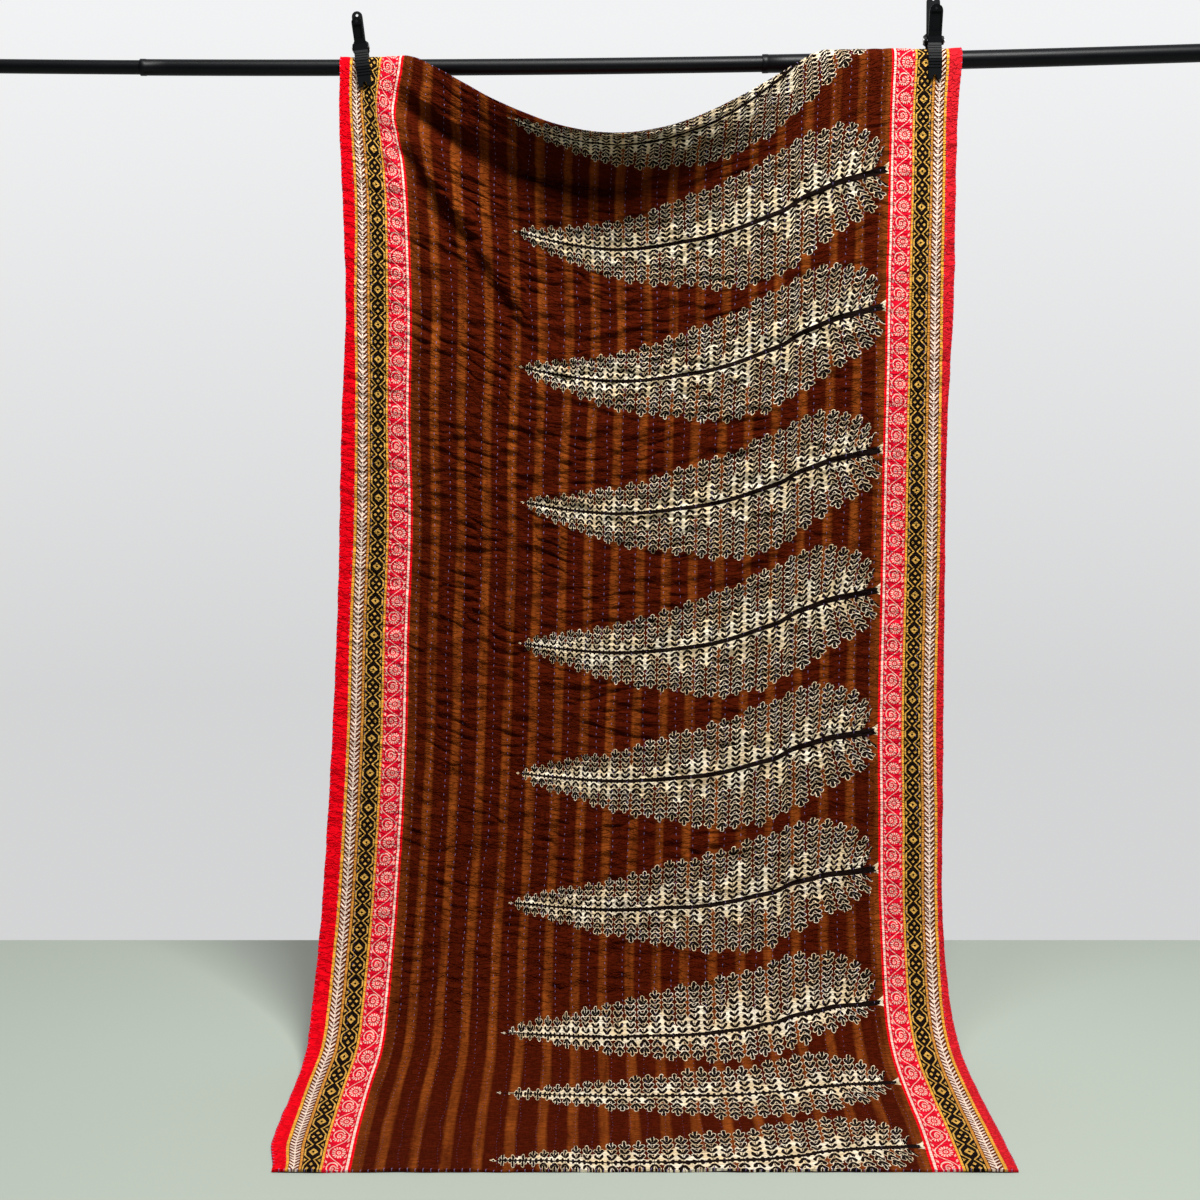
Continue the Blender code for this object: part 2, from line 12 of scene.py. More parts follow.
import bpy
import numpy as np
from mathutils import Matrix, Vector


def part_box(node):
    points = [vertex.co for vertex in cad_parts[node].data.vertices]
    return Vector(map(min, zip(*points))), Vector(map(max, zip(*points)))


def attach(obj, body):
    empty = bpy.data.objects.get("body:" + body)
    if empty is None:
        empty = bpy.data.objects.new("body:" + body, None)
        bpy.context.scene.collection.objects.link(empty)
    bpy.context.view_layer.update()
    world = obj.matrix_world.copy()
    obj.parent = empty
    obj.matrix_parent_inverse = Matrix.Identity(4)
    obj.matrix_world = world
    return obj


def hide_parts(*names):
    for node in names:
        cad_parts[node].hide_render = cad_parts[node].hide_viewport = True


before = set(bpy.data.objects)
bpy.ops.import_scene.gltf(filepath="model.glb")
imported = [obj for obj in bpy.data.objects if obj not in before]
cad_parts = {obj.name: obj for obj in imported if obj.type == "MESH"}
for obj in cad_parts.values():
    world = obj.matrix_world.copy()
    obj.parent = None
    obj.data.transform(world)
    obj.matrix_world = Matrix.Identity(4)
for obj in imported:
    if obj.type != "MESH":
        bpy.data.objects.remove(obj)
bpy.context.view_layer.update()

# %% [markdown]
# ## Camera, floor and light
# The camera stands in front of the bar's middle, somewhat above the middle of the cloth, and looks
# a little down through a lens longer than normal. The main light is a large soft box in front,
# above and to the right, which shades the folds. A weak one overhead and pale surroundings fill it.

# %% Camera
EYE = (0.0, -3.87, -0.4715)
LOOKS_DOWN = math.radians(7.0)
FOCAL_LENGTH = 64.5          # in mm, on a sensor 36 mm wide

lens = bpy.data.cameras.new("camera")
lens.lens = FOCAL_LENGTH
lens.sensor_width = 36.0
camera = bpy.data.objects.new("camera", lens)
bpy.context.scene.collection.objects.link(camera)
camera.location = EYE
camera.rotation_euler = (0.5 * math.pi - LOOKS_DOWN, 0.0, 0.0)
bpy.context.scene.camera = camera
bpy.context.scene.view_settings.view_transform = "Standard"

# %% Floor and light
FLOOR = float(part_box("quilt")[0][2])
FLOOR_BACK, FLOOR_FRONT, FLOOR_SIDE = 0.42, -4.5, 3.5        # the floor's edges, from the bar's middle
FLOOR_GAP = 0.0004           # the floor lies this far under the cloth
FLOOR_GREEN = (0.340, 0.383, 0.328)
DIM_FRONT, BRIGHT_BACK = 0.05, 0.90
LAMPS = (
    # name, place, point it is turned to, size, watts
    ("front_box", (0.75, -1.9, 2.4), (0.0, 0.0, -0.8), 1.2, 222.0),
    ("top_box", (-0.5, -1.1, 2.3), (0.0, -0.2, -1.0), 1.0, 38.0),
)


def plain_material(name, colour, roughness):
    """A material with one colour and roughness, for the stage."""
    made = bpy.data.materials.new(name)
    made.use_nodes = True
    shader = made.node_tree.nodes["Principled BSDF"]
    shader.inputs["Base Color"].default_value = (*colour, 1.0)
    shader.inputs["Roughness"].default_value = roughness
    return made


def make_floor():
    """A flat pale rectangle just under the cloth's lower end."""
    z = FLOOR - FLOOR_GAP
    front = [(-FLOOR_SIDE, FLOOR_FRONT, z), (FLOOR_SIDE, FLOOR_FRONT, z)]
    corners = front + [(FLOOR_SIDE, FLOOR_BACK, z), (-FLOOR_SIDE, FLOOR_BACK, z)]
    mesh = bpy.data.meshes.new("floor")
    mesh.from_pydata(corners, [], [(0, 1, 2, 3)])
    floor = bpy.data.objects.new("floor", mesh)
    bpy.context.scene.collection.objects.link(floor)
    mesh.materials.append(plain_material("floor_paint", FLOOR_GREEN, 0.7))


def soft_box(name, place, aim, size, watts):
    """A square area lamp at a place, turned towards a point."""
    lamp = bpy.data.lights.new(name, "AREA")
    lamp.size = size
    lamp.energy = watts
    thing = bpy.data.objects.new(name, lamp)
    thing.location = place
    thing.rotation_euler = (Vector(aim) - Vector(place)).to_track_quat("-Z", "Y").to_euler()
    bpy.context.scene.collection.objects.link(thing)


def surround():
    """Pale light from all round: bright behind the quilt, dim in front, and dimmer below."""
    world = bpy.data.worlds.new("surround")
    world.use_nodes = True
    tree = world.node_tree
    glow = tree.nodes["Background"]
    glow.inputs["Color"].default_value = (0.985, 0.99, 1.0, 1.0)
    way = tree.nodes.new("ShaderNodeTexCoord")
    split = tree.nodes.new("ShaderNodeSeparateXYZ")
    tree.links.new(way.outputs["Generated"], split.inputs[0])
    levels = (("Y", -0.3, 0.8, DIM_FRONT, BRIGHT_BACK), ("Z", -0.16, 0.14, 0.74, 1.0))
    parts = []
    for axis, start, end, low, high in levels:
        ramp = tree.nodes.new("ShaderNodeMapRange")
        for label, value in zip(("From Min", "From Max", "To Min", "To Max"), (start, end, low, high)):
            ramp.inputs[label].default_value = value
        tree.links.new(split.outputs[axis], ramp.inputs["Value"])
        parts.append(ramp.outputs["Result"])
    both = tree.nodes.new("ShaderNodeMath")
    both.operation = "MULTIPLY"
    tree.links.new(parts[0], both.inputs[0])
    tree.links.new(parts[1], both.inputs[1])
    tree.links.new(both.outputs[0], glow.inputs["Strength"])
    bpy.context.scene.world = world


make_floor()
for lamp_values in LAMPS:
    soft_box(*lamp_values)
surround()
print("floor at", round(FLOOR, 4), "m")

# %% [markdown]
# ## How the quilt hangs
# The cloth's own coordinates are used throughout: *across* runs from -0.575 to 0.575 m, with 0
# on the middle line, and *along* runs from 0 at the top hem to 2.291 m at the bottom hem. The
# drape is worked out from a few sizes, the same as in the solid: the flap behind the bar, the
# bar, the hanging front, the curve at the floor, and the hem's sag between the two clamps. A
# cloth simulation could settle such a sheet, but its folds would fall where they like, so the
# shape is written as a formula and the folds are placed one by one. Three things are the scene's
# own: the borders' drift within the outline, the hems' small waves and the lift of the lower hem.

# %% Sizes of the bar and of the hanging cloth
BAR_RISE, BAR_DROOP = 0.0108, 0.0100
BAR_MIDDLE_RADIUS, BAR_THICK_RADIUS = 0.01425, 0.01600
QUILT_WIDTH, QUILT_LENGTH = 1.150, 2.291
STITCH_ROWS = 38
THICK_AT_STITCH, THICK_BETWEEN = 0.0024, 0.0034
REST_ON_BAR, LIFT_OFF_BAR, FLAP = 0.0009, 0.0022, 0.042
LEAN = (
    # distance below the bar, degrees forward of straight down
    (0.00, 0.0), (0.75, 2.0), (1.00, 9.0), (1.25, 15.0), (1.45, 20.0),
    (1.60, 34.0), (1.74, 66.0), (1.88, 84.0), (2.00, 90.0), (2.60, 90.0),
)
# Measured, not set by hand: 12 of these 14 rows are a measuring script's output, rounded.
EDGES = (
    # along, left edge, right edge
    (0.000, -0.456, 0.634), (0.072, -0.456, 0.634), (0.150, -0.458, 0.629), (0.305, -0.454, 0.627),
    (0.489, -0.451, 0.627), (0.674, -0.460, 0.620), (1.023, -0.470, 0.617), (1.371, -0.482, 0.609),
    (1.556, -0.489, 0.602), (1.747, -0.496, 0.604), (1.851, -0.495, 0.608), (1.942, -0.500, 0.615),
    (2.059, -0.504, 0.619), (2.291, -0.500, 0.620),
)
SAG_MIDDLE, SAG_HALF_SPAN, SAG_DEPTH, SAG_FULLNESS = -0.057, 0.517, 0.198, 1.85
SAG_QUICK_SHARE, SAG_QUICK_LENGTH = 0.42, 0.13
SAG_SLOW_LENGTH, SAG_SLOW_POWER = 1.75, 1.2
LEAN_OUT, LEAN_OUT_LENGTH, LEAN_OUT_POWER, LEAN_OUT_STARTS = 0.095, 0.135, 1.6, 0.20
FALL_BACK, FALL_BACK_START, FALL_BACK_LENGTH = 0.030, 0.10, 0.60
PINCH_ACROSS, PINCH_ALONG, PINCH_SHIFT, PINCH_REACH = -0.440, 0.115, -0.014, 0.060
CORNER_TUCK, CORNER_REACH, CORNER_LENGTH = 0.014, 0.060, 0.12
CLAMP_PLACES, CLAMP_GRIP_REACH = (-0.416, 0.586), 0.050
MAIN_FOLDS = (
    # start across, start along, end across, end along, half width, height
    (-0.470, 0.150, -0.330, 0.430, 0.022, -0.009),
    (-0.430, 0.170, -0.250, 0.420, 0.024, 0.009),
    (-0.400, 0.230, -0.210, 0.520, 0.022, -0.007),
    (-0.500, 0.130, -0.475, 0.330, 0.018, -0.006),
    (0.470, 0.140, 0.400, 0.420, 0.022, -0.006),
)


# %% Helpers for smooth curves
def ease(t):
    """0 to 1 with flat ends, for t from 0 to 1: three t squared less two t cubed."""
    t = np.clip(t, 0.0, 1.0)
    return t * t * (3.0 - 2.0 * t)


def smooth_table(rows, column, at):
    """A table's column read at the given places, on a cubic curve through its rows."""
    table = np.array(rows, dtype=float)
    place, value = table[:, 0], table[:, column]
    slope = np.gradient(value, place)
    k = np.clip(np.searchsorted(place, at, side="right") - 1, 0, len(place) - 2)
    span = place[k + 1] - place[k]
    t = np.clip((at - place[k]) / span, 0.0, 1.0)
    blend = t * t * (3.0 - 2.0 * t)
    bend = t * (1.0 - t) * span * ((1.0 - t) * slope[k] - t * slope[k + 1])
    return value[k] * (1.0 - blend) + value[k + 1] * blend + bend


# %% The drape
def hanging_profile():
    """Forward reach and height against distance below the bar, summed from the lean angles."""
    below = np.linspace(0.0, 2.45, 2451)
    table = np.array(LEAN)
    angle = np.radians(np.interp(below, table[:, 0], table[:, 1]))
    step = below[1] - below[0]
    forward = np.concatenate([[0.0], np.cumsum(np.sin(angle[:-1]) * step)])
    height = -np.concatenate([[0.0], np.cumsum(np.cos(angle[:-1]) * step)])
    return below, forward, height


def bar_height(x):
    """Height of the bar's axis: a slight rise to the right and a shallow sag."""
    return BAR_RISE * x + BAR_DROOP * x * x


def bar_radius(x):
    """The bar's radius under the quilt, blended over the step between two tubes."""
    return BAR_MIDDLE_RADIUS + (BAR_THICK_RADIUS - BAR_MIDDLE_RADIUS) * ease((x + 0.05) / 0.30)


def sag_share(across):
    """1 where the top hem hangs lowest, 0 at the clamps."""
    q = np.clip((across - SAG_MIDDLE) / SAG_HALF_SPAN, -1.0, 1.0)
    return (1.0 - q * q) ** SAG_FULLNESS


def slide_down(across, along):
    """How far the sag carries the cloth down its own hanging line: a quick and a slow part."""
    quick = SAG_QUICK_SHARE * np.exp(-along / SAG_QUICK_LENGTH)
    left = np.clip(1.0 - along / SAG_SLOW_LENGTH, 0.0, 1.0)
    slow = (1.0 - SAG_QUICK_SHARE) * left ** SAG_SLOW_POWER
    return SAG_DEPTH * sag_share(across) * (quick + slow)


def lean_out(across, along):
    """How far the cloth stands forward (+) or back (-) of the hanging line in the sag."""
    share = np.clip((sag_share(across) - LEAN_OUT_STARTS) / (1.0 - LEAN_OUT_STARTS), 0.0, 1.0)
    down = np.clip(along, 0.0, None) / LEAN_OUT_LENGTH
    hem = LEAN_OUT * np.exp(-(down ** LEAN_OUT_POWER))
    under = ease(along / FALL_BACK_START - 0.6) * np.exp(-along / FALL_BACK_LENGTH)
    return share ** 1.3 * (hem - FALL_BACK * under)


def grip(x):
    """1 where a clamp presses the cloth onto the bar, 0 away from both clamps."""
    press = np.zeros_like(x)
    for place in CLAMP_PLACES:
        press = np.maximum(press, 1.0 - ease(np.abs(x - place) / CLAMP_GRIP_REACH - 0.4))
    return press


def fold_relief(across, along, folds):
    """Sum of drawn folds: each a bell-shaped trough or ridge along a straight run."""
    relief = np.zeros_like(across)
    for from_a, from_l, to_a, to_l, half_width, height in folds:
        run_a, run_l = to_a - from_a, to_l - from_l
        length = math.hypot(run_a, run_l)
        t = ((across - from_a) * run_a + (along - from_l) * run_l) / length ** 2
        off = ((across - from_a) * run_l - (along - from_l) * run_a) / length
        ends = ease((t + 0.15) / 0.4) * ease((1.15 - t) / 0.5)
        relief += height * ends * np.exp(-((off / half_width) ** 2))
    return relief


def drape(across, along):
    """The quilt's middle surface: up behind the bar, over it, down, and out over the floor."""
    left = smooth_table(EDGES, 1, along)
    right = smooth_table(EDGES, 2, along)
    x = left + (right - left) * (across / QUILT_WIDTH + 0.5)
    pull = np.exp(-((along - PINCH_ALONG) / PINCH_REACH) ** 2)
    x = x + PINCH_SHIFT * pull * np.exp(-((across - PINCH_ACROSS) / PINCH_REACH) ** 2)
    corner = ease((along - QUILT_LENGTH + CORNER_LENGTH) / CORNER_LENGTH)
    x = x + CORNER_TUCK * corner * np.exp(-((across + 0.5 * QUILT_WIDTH) / CORNER_REACH) ** 2)
    x = x + side_drift(across, along)

    slack = REST_ON_BAR + LIFT_OFF_BAR * (1.0 - grip(x))
    wrap = bar_radius(x) + slack + 0.5 * THICK_BETWEEN
    travel = along - FLAP + slide_down(across, along)
    turn = np.clip(travel / wrap, -0.5 * math.pi, 0.5 * math.pi)
    past_front = np.clip(travel - 0.5 * math.pi * wrap, 0.0, None)
    past_back = np.clip(-travel - 0.5 * math.pi * wrap, 0.0, None)
    below, reach, height = hanging_profile()
    forward = wrap * np.sin(turn) + np.interp(past_front, below, reach)
    forward = forward + lean_out(across, along) + fold_relief(across, along, MAIN_FOLDS)
    up = wrap * np.cos(turn) + np.interp(past_front, below, height) - past_back
    up = up + bar_height(x) * (1.0 - ease(past_front / 1.6))
    return np.stack([x, -forward, up], axis=-1)


# %% Drift of the borders
DRIFT_RED, DRIFT_WHITE = 0.5455, 0.445       # the two lines of each border that the drift moves
FIELD_STARTS, FIELD_ENDS = -0.15, 0.05       # no drift between these places
# Measured, not set by hand: worked out from a measuring script's output.
DRIFT = (
    # along, shift to the right: left red line, left white line, right white line, right red line
    (0.00, -0.009, -0.012, 0.001, 0.005), (0.10, -0.010, -0.013, 0.003, 0.006),
    (0.19, -0.007, -0.012, 0.006, 0.008), (0.30, -0.006, -0.008, 0.006, 0.009),
    (0.48, -0.0125, -0.0065, 0.003, 0.0085), (0.65, -0.0045, -0.0025, 0.009, 0.015),
    (0.85, -0.002, 0.0065, 0.010, 0.0185), (1.05, -0.005, 0.005, 0.009, 0.017),
    (1.25, -0.002, 0.0085, 0.008, 0.015), (1.45, -0.001, 0.009, 0.012, 0.0195),
    (1.65, -0.0015, 0.007, 0.014, 0.018), (1.80, -0.0025, 0.0045, 0.009, 0.0125),
    (1.90, -0.008, -0.001, 0.007, 0.0125), (2.10, -0.0055, 0.0005, 0.006, 0.0125),
    (2.291, -0.006, 0.002, 0.000, 0.0125),
)


def side_drift(across, along):
    """How far the cloth is drawn sideways in its outline: most at the borders, none at the edges."""
    red_left, white_left, white_right, red_right = (smooth_table(DRIFT, k, along) for k in range(1, 5))
    edge = 0.5 * QUILT_WIDTH
    shift = np.zeros_like(across)
    runs = (
        (-edge, -DRIFT_RED, 0.0, red_left), (-DRIFT_RED, -DRIFT_WHITE, red_left, white_left),
        (-DRIFT_WHITE, FIELD_STARTS, white_left, 0.0), (FIELD_ENDS, DRIFT_WHITE, 0.0, white_right),
        (DRIFT_WHITE, DRIFT_RED, white_right, red_right), (DRIFT_RED, edge, red_right, 0.0),
    )
    for start, end, from_shift, to_shift in runs:
        t = (across - start) / (end - start)
        inside = (t >= 0.0) & (t < 1.0)
        shift = np.where(inside, from_shift + (to_shift - from_shift) * t, shift)
    return shift


def unit(vectors):
    """The same vectors at length one."""
    return vectors / np.linalg.norm(vectors, axis=-1, keepdims=True)


def drape_normal(across, along):
    """Directions square to the drape, towards the printed face."""
    nudge = 0.0005
    over = drape(across + nudge, along) - drape(across - nudge, along)
    down = drape(across, along + nudge) - drape(across, along - nudge)
    return unit(np.cross(down, over))


# %% [markdown]
# ## Puckers and creases
# Running stitch draws the layers together, so a kantha is never flat: it puffs between the rows,
# dips at each stitch and crinkles in small creases that run from row to row. They are real
# height here, not only shading. Seeded sums of plane waves give uneven fields, and the narrow
# creases lie where such a field crosses nought. Longer folds drawn from the clamps are placed
# one by one. All but the dips at the stitches grow weak over the bar, at the clamps and on the floor.

# %% Uneven fields
def wave_field(across, along, wavelength, turn, spread, count, seed):
    """A sum of cosines, each with its own direction and phase, scaled to a spread of about 1."""
    dice = np.random.default_rng(seed)
    total = np.zeros_like(across)
    for _ in range(count):
        angle = math.radians(turn + spread * dice.uniform(-1.0, 1.0))
        rate = 2.0 * math.pi / (wavelength * dice.uniform(0.75, 1.35))
        phase = dice.uniform(0.0, 2.0 * math.pi)
        total += np.cos(rate * (across * math.sin(angle) + along * math.cos(angle)) + phase)
    return total / math.sqrt(0.5 * count)


# %% Fine folds drawn from the clamps and across the hanging part
CHANNEL = QUILT_WIDTH / (STITCH_ROWS + 1)    # cloth between two stitch rows
STITCH_PITCH = 0.0128
# Eight rows by the left clamp join places that a measuring script printed.
FINE_FOLDS = (
    # start across, start along, end across, end along, half width, height
    (-0.460, 0.090, -0.300, 0.158, 0.021, -0.0200),
    (-0.300, 0.158, -0.020, 0.160, 0.021, -0.0220),
    (-0.438, 0.188, -0.406, 0.260, 0.013, -0.0050),
    (-0.410, 0.245, -0.324, 0.346, 0.016, -0.0065),
    (-0.324, 0.346, -0.281, 0.443, 0.016, -0.0060),
    (-0.400, 0.276, -0.353, 0.373, 0.013, -0.0060),
    (-0.353, 0.373, -0.317, 0.423, 0.013, -0.0060),
    (-0.285, 0.400, -0.235, 0.486, 0.014, -0.0060),
    (-0.235, 0.486, -0.190, 0.520, 0.014, -0.0055),
    (-0.260, 0.368, -0.131, 0.375, 0.009, -0.0065),
    (-0.375, 0.235, -0.300, 0.310, 0.016, 0.0050),
    (-0.330, 0.060, -0.180, 0.110, 0.007, -0.0025),
    (0.430, 0.110, 0.330, 0.230, 0.008, -0.0030),
    (0.400, 0.200, 0.330, 0.420, 0.009, -0.0030),
    (0.455, 0.260, 0.425, 0.520, 0.008, -0.0025),
    (-0.420, 0.640, -0.150, 0.672, 0.007, -0.0030),
    (-0.400, 0.905, -0.120, 0.885, 0.007, -0.0030),
    (-0.430, 1.120, -0.060, 1.150, 0.008, -0.0035),
    (-0.300, 1.310, 0.060, 1.285, 0.008, -0.0030),
    (-0.420, 1.455, -0.100, 1.470, 0.008, -0.0030),
    (0.050, 0.640, 0.300, 0.600, 0.008, -0.0025),
    (0.100, 1.100, 0.360, 1.120, 0.008, -0.0025),
)


BROAD_WANDER, SMALL_WANDER = 0.0028, 0.0011
DIP_HALF_WIDTH, DIP_DEPTH, DIP_BEAT = 0.0050, 0.00035, 0.00030
PUCKER_WAVES = (
    # height, wavelength, turn, spread of turns, how many waves, seed
    (0.00140, 0.052, 10.0, 40.0, 26, 5),
    (0.00080, 0.024, 0.0, 24.0, 30, 11),
    (0.00026, 0.0125, -12.0, 22.0, 34, 17),
)
CREASE_DEPTH, CREASE_HALF_WIDTH = 0.0034, 0.34       # in metres, and in spreads of the field


def row_wander(across, along):
    """How far the hand-sewn rows stray to the side of straight evenly spaced lines."""
    broad = wave_field(across, along, 0.480, 90.0, 70.0, 14, 41)
    return BROAD_WANDER * broad + SMALL_WANDER * wave_field(across, along, 0.130, 20.0, 30.0, 12, 43)


def row_phase(row):
    """Where each row's stitches start, as a share of the stitch pitch."""
    return np.modf(0.37 + 0.6180 * row + 0.11 * np.sin(2.3 * row))[0]


def stitch_dimples(across, along):
    """A shallow trough along each row, deeper at each stitch."""
    place = (across + 0.5 * QUILT_WIDTH - row_wander(across, along)) / CHANNEL
    row = np.round(place)
    off = (place - row) * CHANNEL
    beat = np.cos(2.0 * math.pi * (along / STITCH_PITCH - row_phase(row)))
    inside = np.where((row > 0.5) & (row < STITCH_ROWS + 0.5), 1.0, 0.0)
    return -inside * np.exp(-((off / DIP_HALF_WIDTH) ** 2)) * (DIP_DEPTH + DIP_BEAT * beat)


def calm(across, along, x):
    """1 where the cloth hangs free and 0 where the bar, a clamp or the floor flattens it."""
    off_bar = ease((along + slide_down(across, along) - 0.055) / 0.06)
    at_clamp = 1.0 - grip(x) * ease(1.0 - (along - 0.10) / 0.03)
    off_floor = 1.0 - 0.80 * ease((along - 1.72) / 0.22)
    right_side = 1.0 - 0.30 * ease((across - 0.10) / 0.25)
    borders = 1.0 - 0.45 * ease((np.abs(across) - 0.41) / 0.05)
    return (0.12 + 0.88 * off_bar) * at_clamp * off_floor * right_side * borders


def pucker(across, along, x):
    """Height of the crinkles over the drape, in metres, towards the face when positive."""
    height = np.zeros_like(across)
    for rise, *wave in PUCKER_WAVES:
        height = height + rise * wave_field(across, along, *wave)
    lines = wave_field(across, along, 0.040, -6.0, 26.0, 22, 23)
    patches = ease(0.55 + 0.40 * wave_field(across, along, 0.150, 45.0, 90.0, 18, 31))
    crease = np.exp(-((lines / CREASE_HALF_WIDTH) ** 2)) * patches
    height = height - CREASE_DEPTH * crease
    height = height * (1.0 - 0.55 * ease((0.20 - along) / 0.08))
    height = height + fold_relief(across, along, FINE_FOLDS)
    return height * calm(across, along, x) + stitch_dimples(across, along)


# %% The whole cloth as one grid
COLUMNS_PER_CHANNEL = 9
BACK_STEP = 3                # the plain back has every third column and row
ROW_COUNT = 1002
HEM_SCALLOP, HEM_PITCH, HEM_REACH = 0.00030, 0.0120, 0.005
HEM_WAVES, HEM_WAVE_REACH = 0.0004, 0.020
HEM_LIFT, LIFT_STARTS, LIFT_LENGTH = 0.0024, 2.17, 0.12


def cloth_grid():
    """Across and along of every grid point, evenly spaced over the flat cloth."""
    columns = np.linspace(-0.5, 0.5, COLUMNS_PER_CHANNEL * (STITCH_ROWS + 1) + 1) * QUILT_WIDTH
    rows = np.linspace(0.0, QUILT_LENGTH, ROW_COUNT + 1)
    return np.meshgrid(columns, rows)


def half_thickness(across, along):
    """Half the cloth's thickness: thin at the stitch rows, thick between them."""
    puff = np.sin(math.pi * (across + 0.5 * QUILT_WIDTH - row_wander(across, along)) / CHANNEL) ** 2
    return 0.5 * (THICK_AT_STITCH + (THICK_BETWEEN - THICK_AT_STITCH) * puff)


def hem_pull(across, along):
    """How much each hem is drawn in, across and along: small scallops and longer uneven waves."""
    end = np.minimum(along, QUILT_LENGTH - along)
    side = 0.5 * QUILT_WIDTH - np.abs(across)
    at_end = np.exp(-((end / HEM_REACH) ** 2)) * np.cos(2.0 * math.pi * across / HEM_PITCH)
    at_side = np.exp(-((side / HEM_REACH) ** 2)) * np.cos(2.0 * math.pi * along / HEM_PITCH)
    inwards = np.where(along < 0.5 * QUILT_LENGTH, 1.0, -1.0)
    waves = HEM_WAVES * wave_field(across, along, 0.060, 0.0, 50.0, 12, 53)
    sideways = np.exp(-((side / HEM_WAVE_REACH) ** 2)) * waves
    endways = np.exp(-((end / HEM_WAVE_REACH) ** 2)) * waves
    return sideways - HEM_SCALLOP * np.sign(across) * at_side, endways + HEM_SCALLOP * inwards * at_end


def hem_ripple(across, along):
    """How far the bottom hem lifts off the floor, in a few uneven waves."""
    wave = wave_field(across, 0.0 * along, 0.170, 90.0, 0.0, 10, 61)
    return HEM_LIFT * ease(0.5 + 0.4 * wave) * ease((along - LIFT_STARTS) / LIFT_LENGTH)


def surface_normals(surface):
    """Directions square to a grid of points, from the differences along its two ways."""
    down = np.gradient(surface, axis=0)
    over = np.gradient(surface, axis=1)
    return unit(np.cross(down, over))


def lowest_near(height, reach):
    """The lowest value within a few grid steps, so that the plain back stays below every crease."""
    low = height
    for axis in (0, 1):
        rolled = [np.roll(low, step, axis) for step in range(-reach, reach + 1)]
        low = np.min(rolled, axis=0)
    return low


ACROSS, ALONG = cloth_grid()
PULL_ACROSS, PULL_ALONG = hem_pull(ACROSS, ALONG)
MIDDLE = drape(ACROSS + PULL_ACROSS, ALONG + PULL_ALONG)
MIDDLE[..., 2] += hem_ripple(ACROSS, ALONG)
OUTWARD = drape_normal(ACROSS, ALONG)
HALF = half_thickness(ACROSS, ALONG)
PUCKER = pucker(ACROSS, ALONG, MIDDLE[..., 0])
FACE = MIDDLE + OUTWARD * (HALF + PUCKER)[..., None]
BACK = MIDDLE - OUTWARD * (HALF - lowest_near(PUCKER, 3))[..., None]
BACK[..., 2] = np.maximum(BACK[..., 2], FLOOR)
FACE_NORMAL = surface_normals(FACE)
BACK_NORMAL = -surface_normals(BACK[::BACK_STEP, ::BACK_STEP])
print("cloth grid", ACROSS.shape, "pucker from", round(1000 * float(PUCKER.min()), 2),
      "to", round(1000 * float(PUCKER.max()), 2), "mm")

# %% [markdown]
# ## The leaves' own coordinates
# The print has one big leaf after another, each lying across the cloth with its tip to the left.
# Every leaf is built from upright sprigs on a curved midrib. To draw it with simple maths, each
# grid point gets three numbers: which sprig it belongs to, how far out from the midrib it is,
# and how much room is left to the leaf's outline. Two more hold the place along the print and the
# leaf's size. The sprigs stand upright but fan out near the stalk, so the sprig's foot is found by
# a few rounds of correction.
#
# The print of a real kantha is even. Here it is drawn longer along the cloth where the cloth nears
# the floor, by the rate in PRINT_RATE, so that it reads at a low angle. On a cloth that hangs
# freely the rate would be 1 throughout.

# %% Leaf layout
LEAF_END, LEAF_LENGTH = 0.438, 0.670
RISE_SHARE = 0.62            # share of the leaf, from the stalk, over which the tip's rise grows
OUTLINE_MARGIN = 0.0025      # room left round the leaf for the fine cream line
NO_ROOM, FAR_OUT = -0.01, 9.0
# Measured, not set by hand: the tips, the rises and all stalks but the first come from a
# measuring script's output.
LEAVES = (
    # stalk's end along, size above and below the midrib, tip's place across, tip's rise
    (-0.037, 1.00, 1.00, -0.254, -0.011), (0.261, 1.00, 1.05, -0.247, 0.044),
    (0.500, 0.93, 1.00, -0.241, 0.0235), (0.751, 0.86, 1.05, -0.230, 0.0195),
    (1.001, 0.93, 1.00, -0.229, 0.002), (1.251, 0.95, 1.00, -0.2255, 0.008),
    (1.495, 0.94, 0.84, -0.228, 0.0115), (1.735, 0.90, 0.45, -0.2295, 0.000),
    (1.936, 0.49, 0.47, -0.226, 0.023), (2.195, 0.58, 0.55, -0.2265, 0.0065),
)
# Traced, not set by hand: reshaped after a script had followed the midribs.
MIDRIB = (
    # share of the leaf from tip to stalk, metres further along than the stalk's end
    (0.00, 0.0620), (0.15, 0.0690), (0.29, 0.0740), (0.45, 0.0715), (0.54, 0.0680), (0.61, 0.0600),
    (0.68, 0.0485), (0.73, 0.0405), (0.77, 0.0270), (0.82, 0.0185), (0.87, 0.0100), (0.93, 0.0060),
    (1.00, 0.0000),
)
OUTLINE = (
    # share from tip to stalk at the sprig's foot, sprig's reach above the midrib, reach below it
    (-0.03, -0.030, -0.030), (0.00, 0.003, 0.003), (0.04, 0.017, 0.018), (0.115, 0.033, 0.030),
    (0.215, 0.052, 0.048), (0.33, 0.071, 0.068), (0.47, 0.095, 0.088), (0.60, 0.108, 0.110),
    (0.70, 0.116, 0.116), (0.80, 0.117, 0.105), (0.85, 0.108, 0.090), (0.88, 0.098, 0.079),
    (0.91, 0.083, 0.065), (0.94, 0.060, 0.045), (0.97, 0.030, 0.022), (1.00, 0.016, 0.016),
    (1.01, -0.030, -0.030),
)
SPRIG_WIDTH = (
    # share from tip to stalk, room that one sprig takes across the cloth
    (0.00, 0.0155), (0.20, 0.0170), (0.33, 0.0225), (0.80, 0.0240), (0.87, 0.0178), (1.00, 0.0165),
)
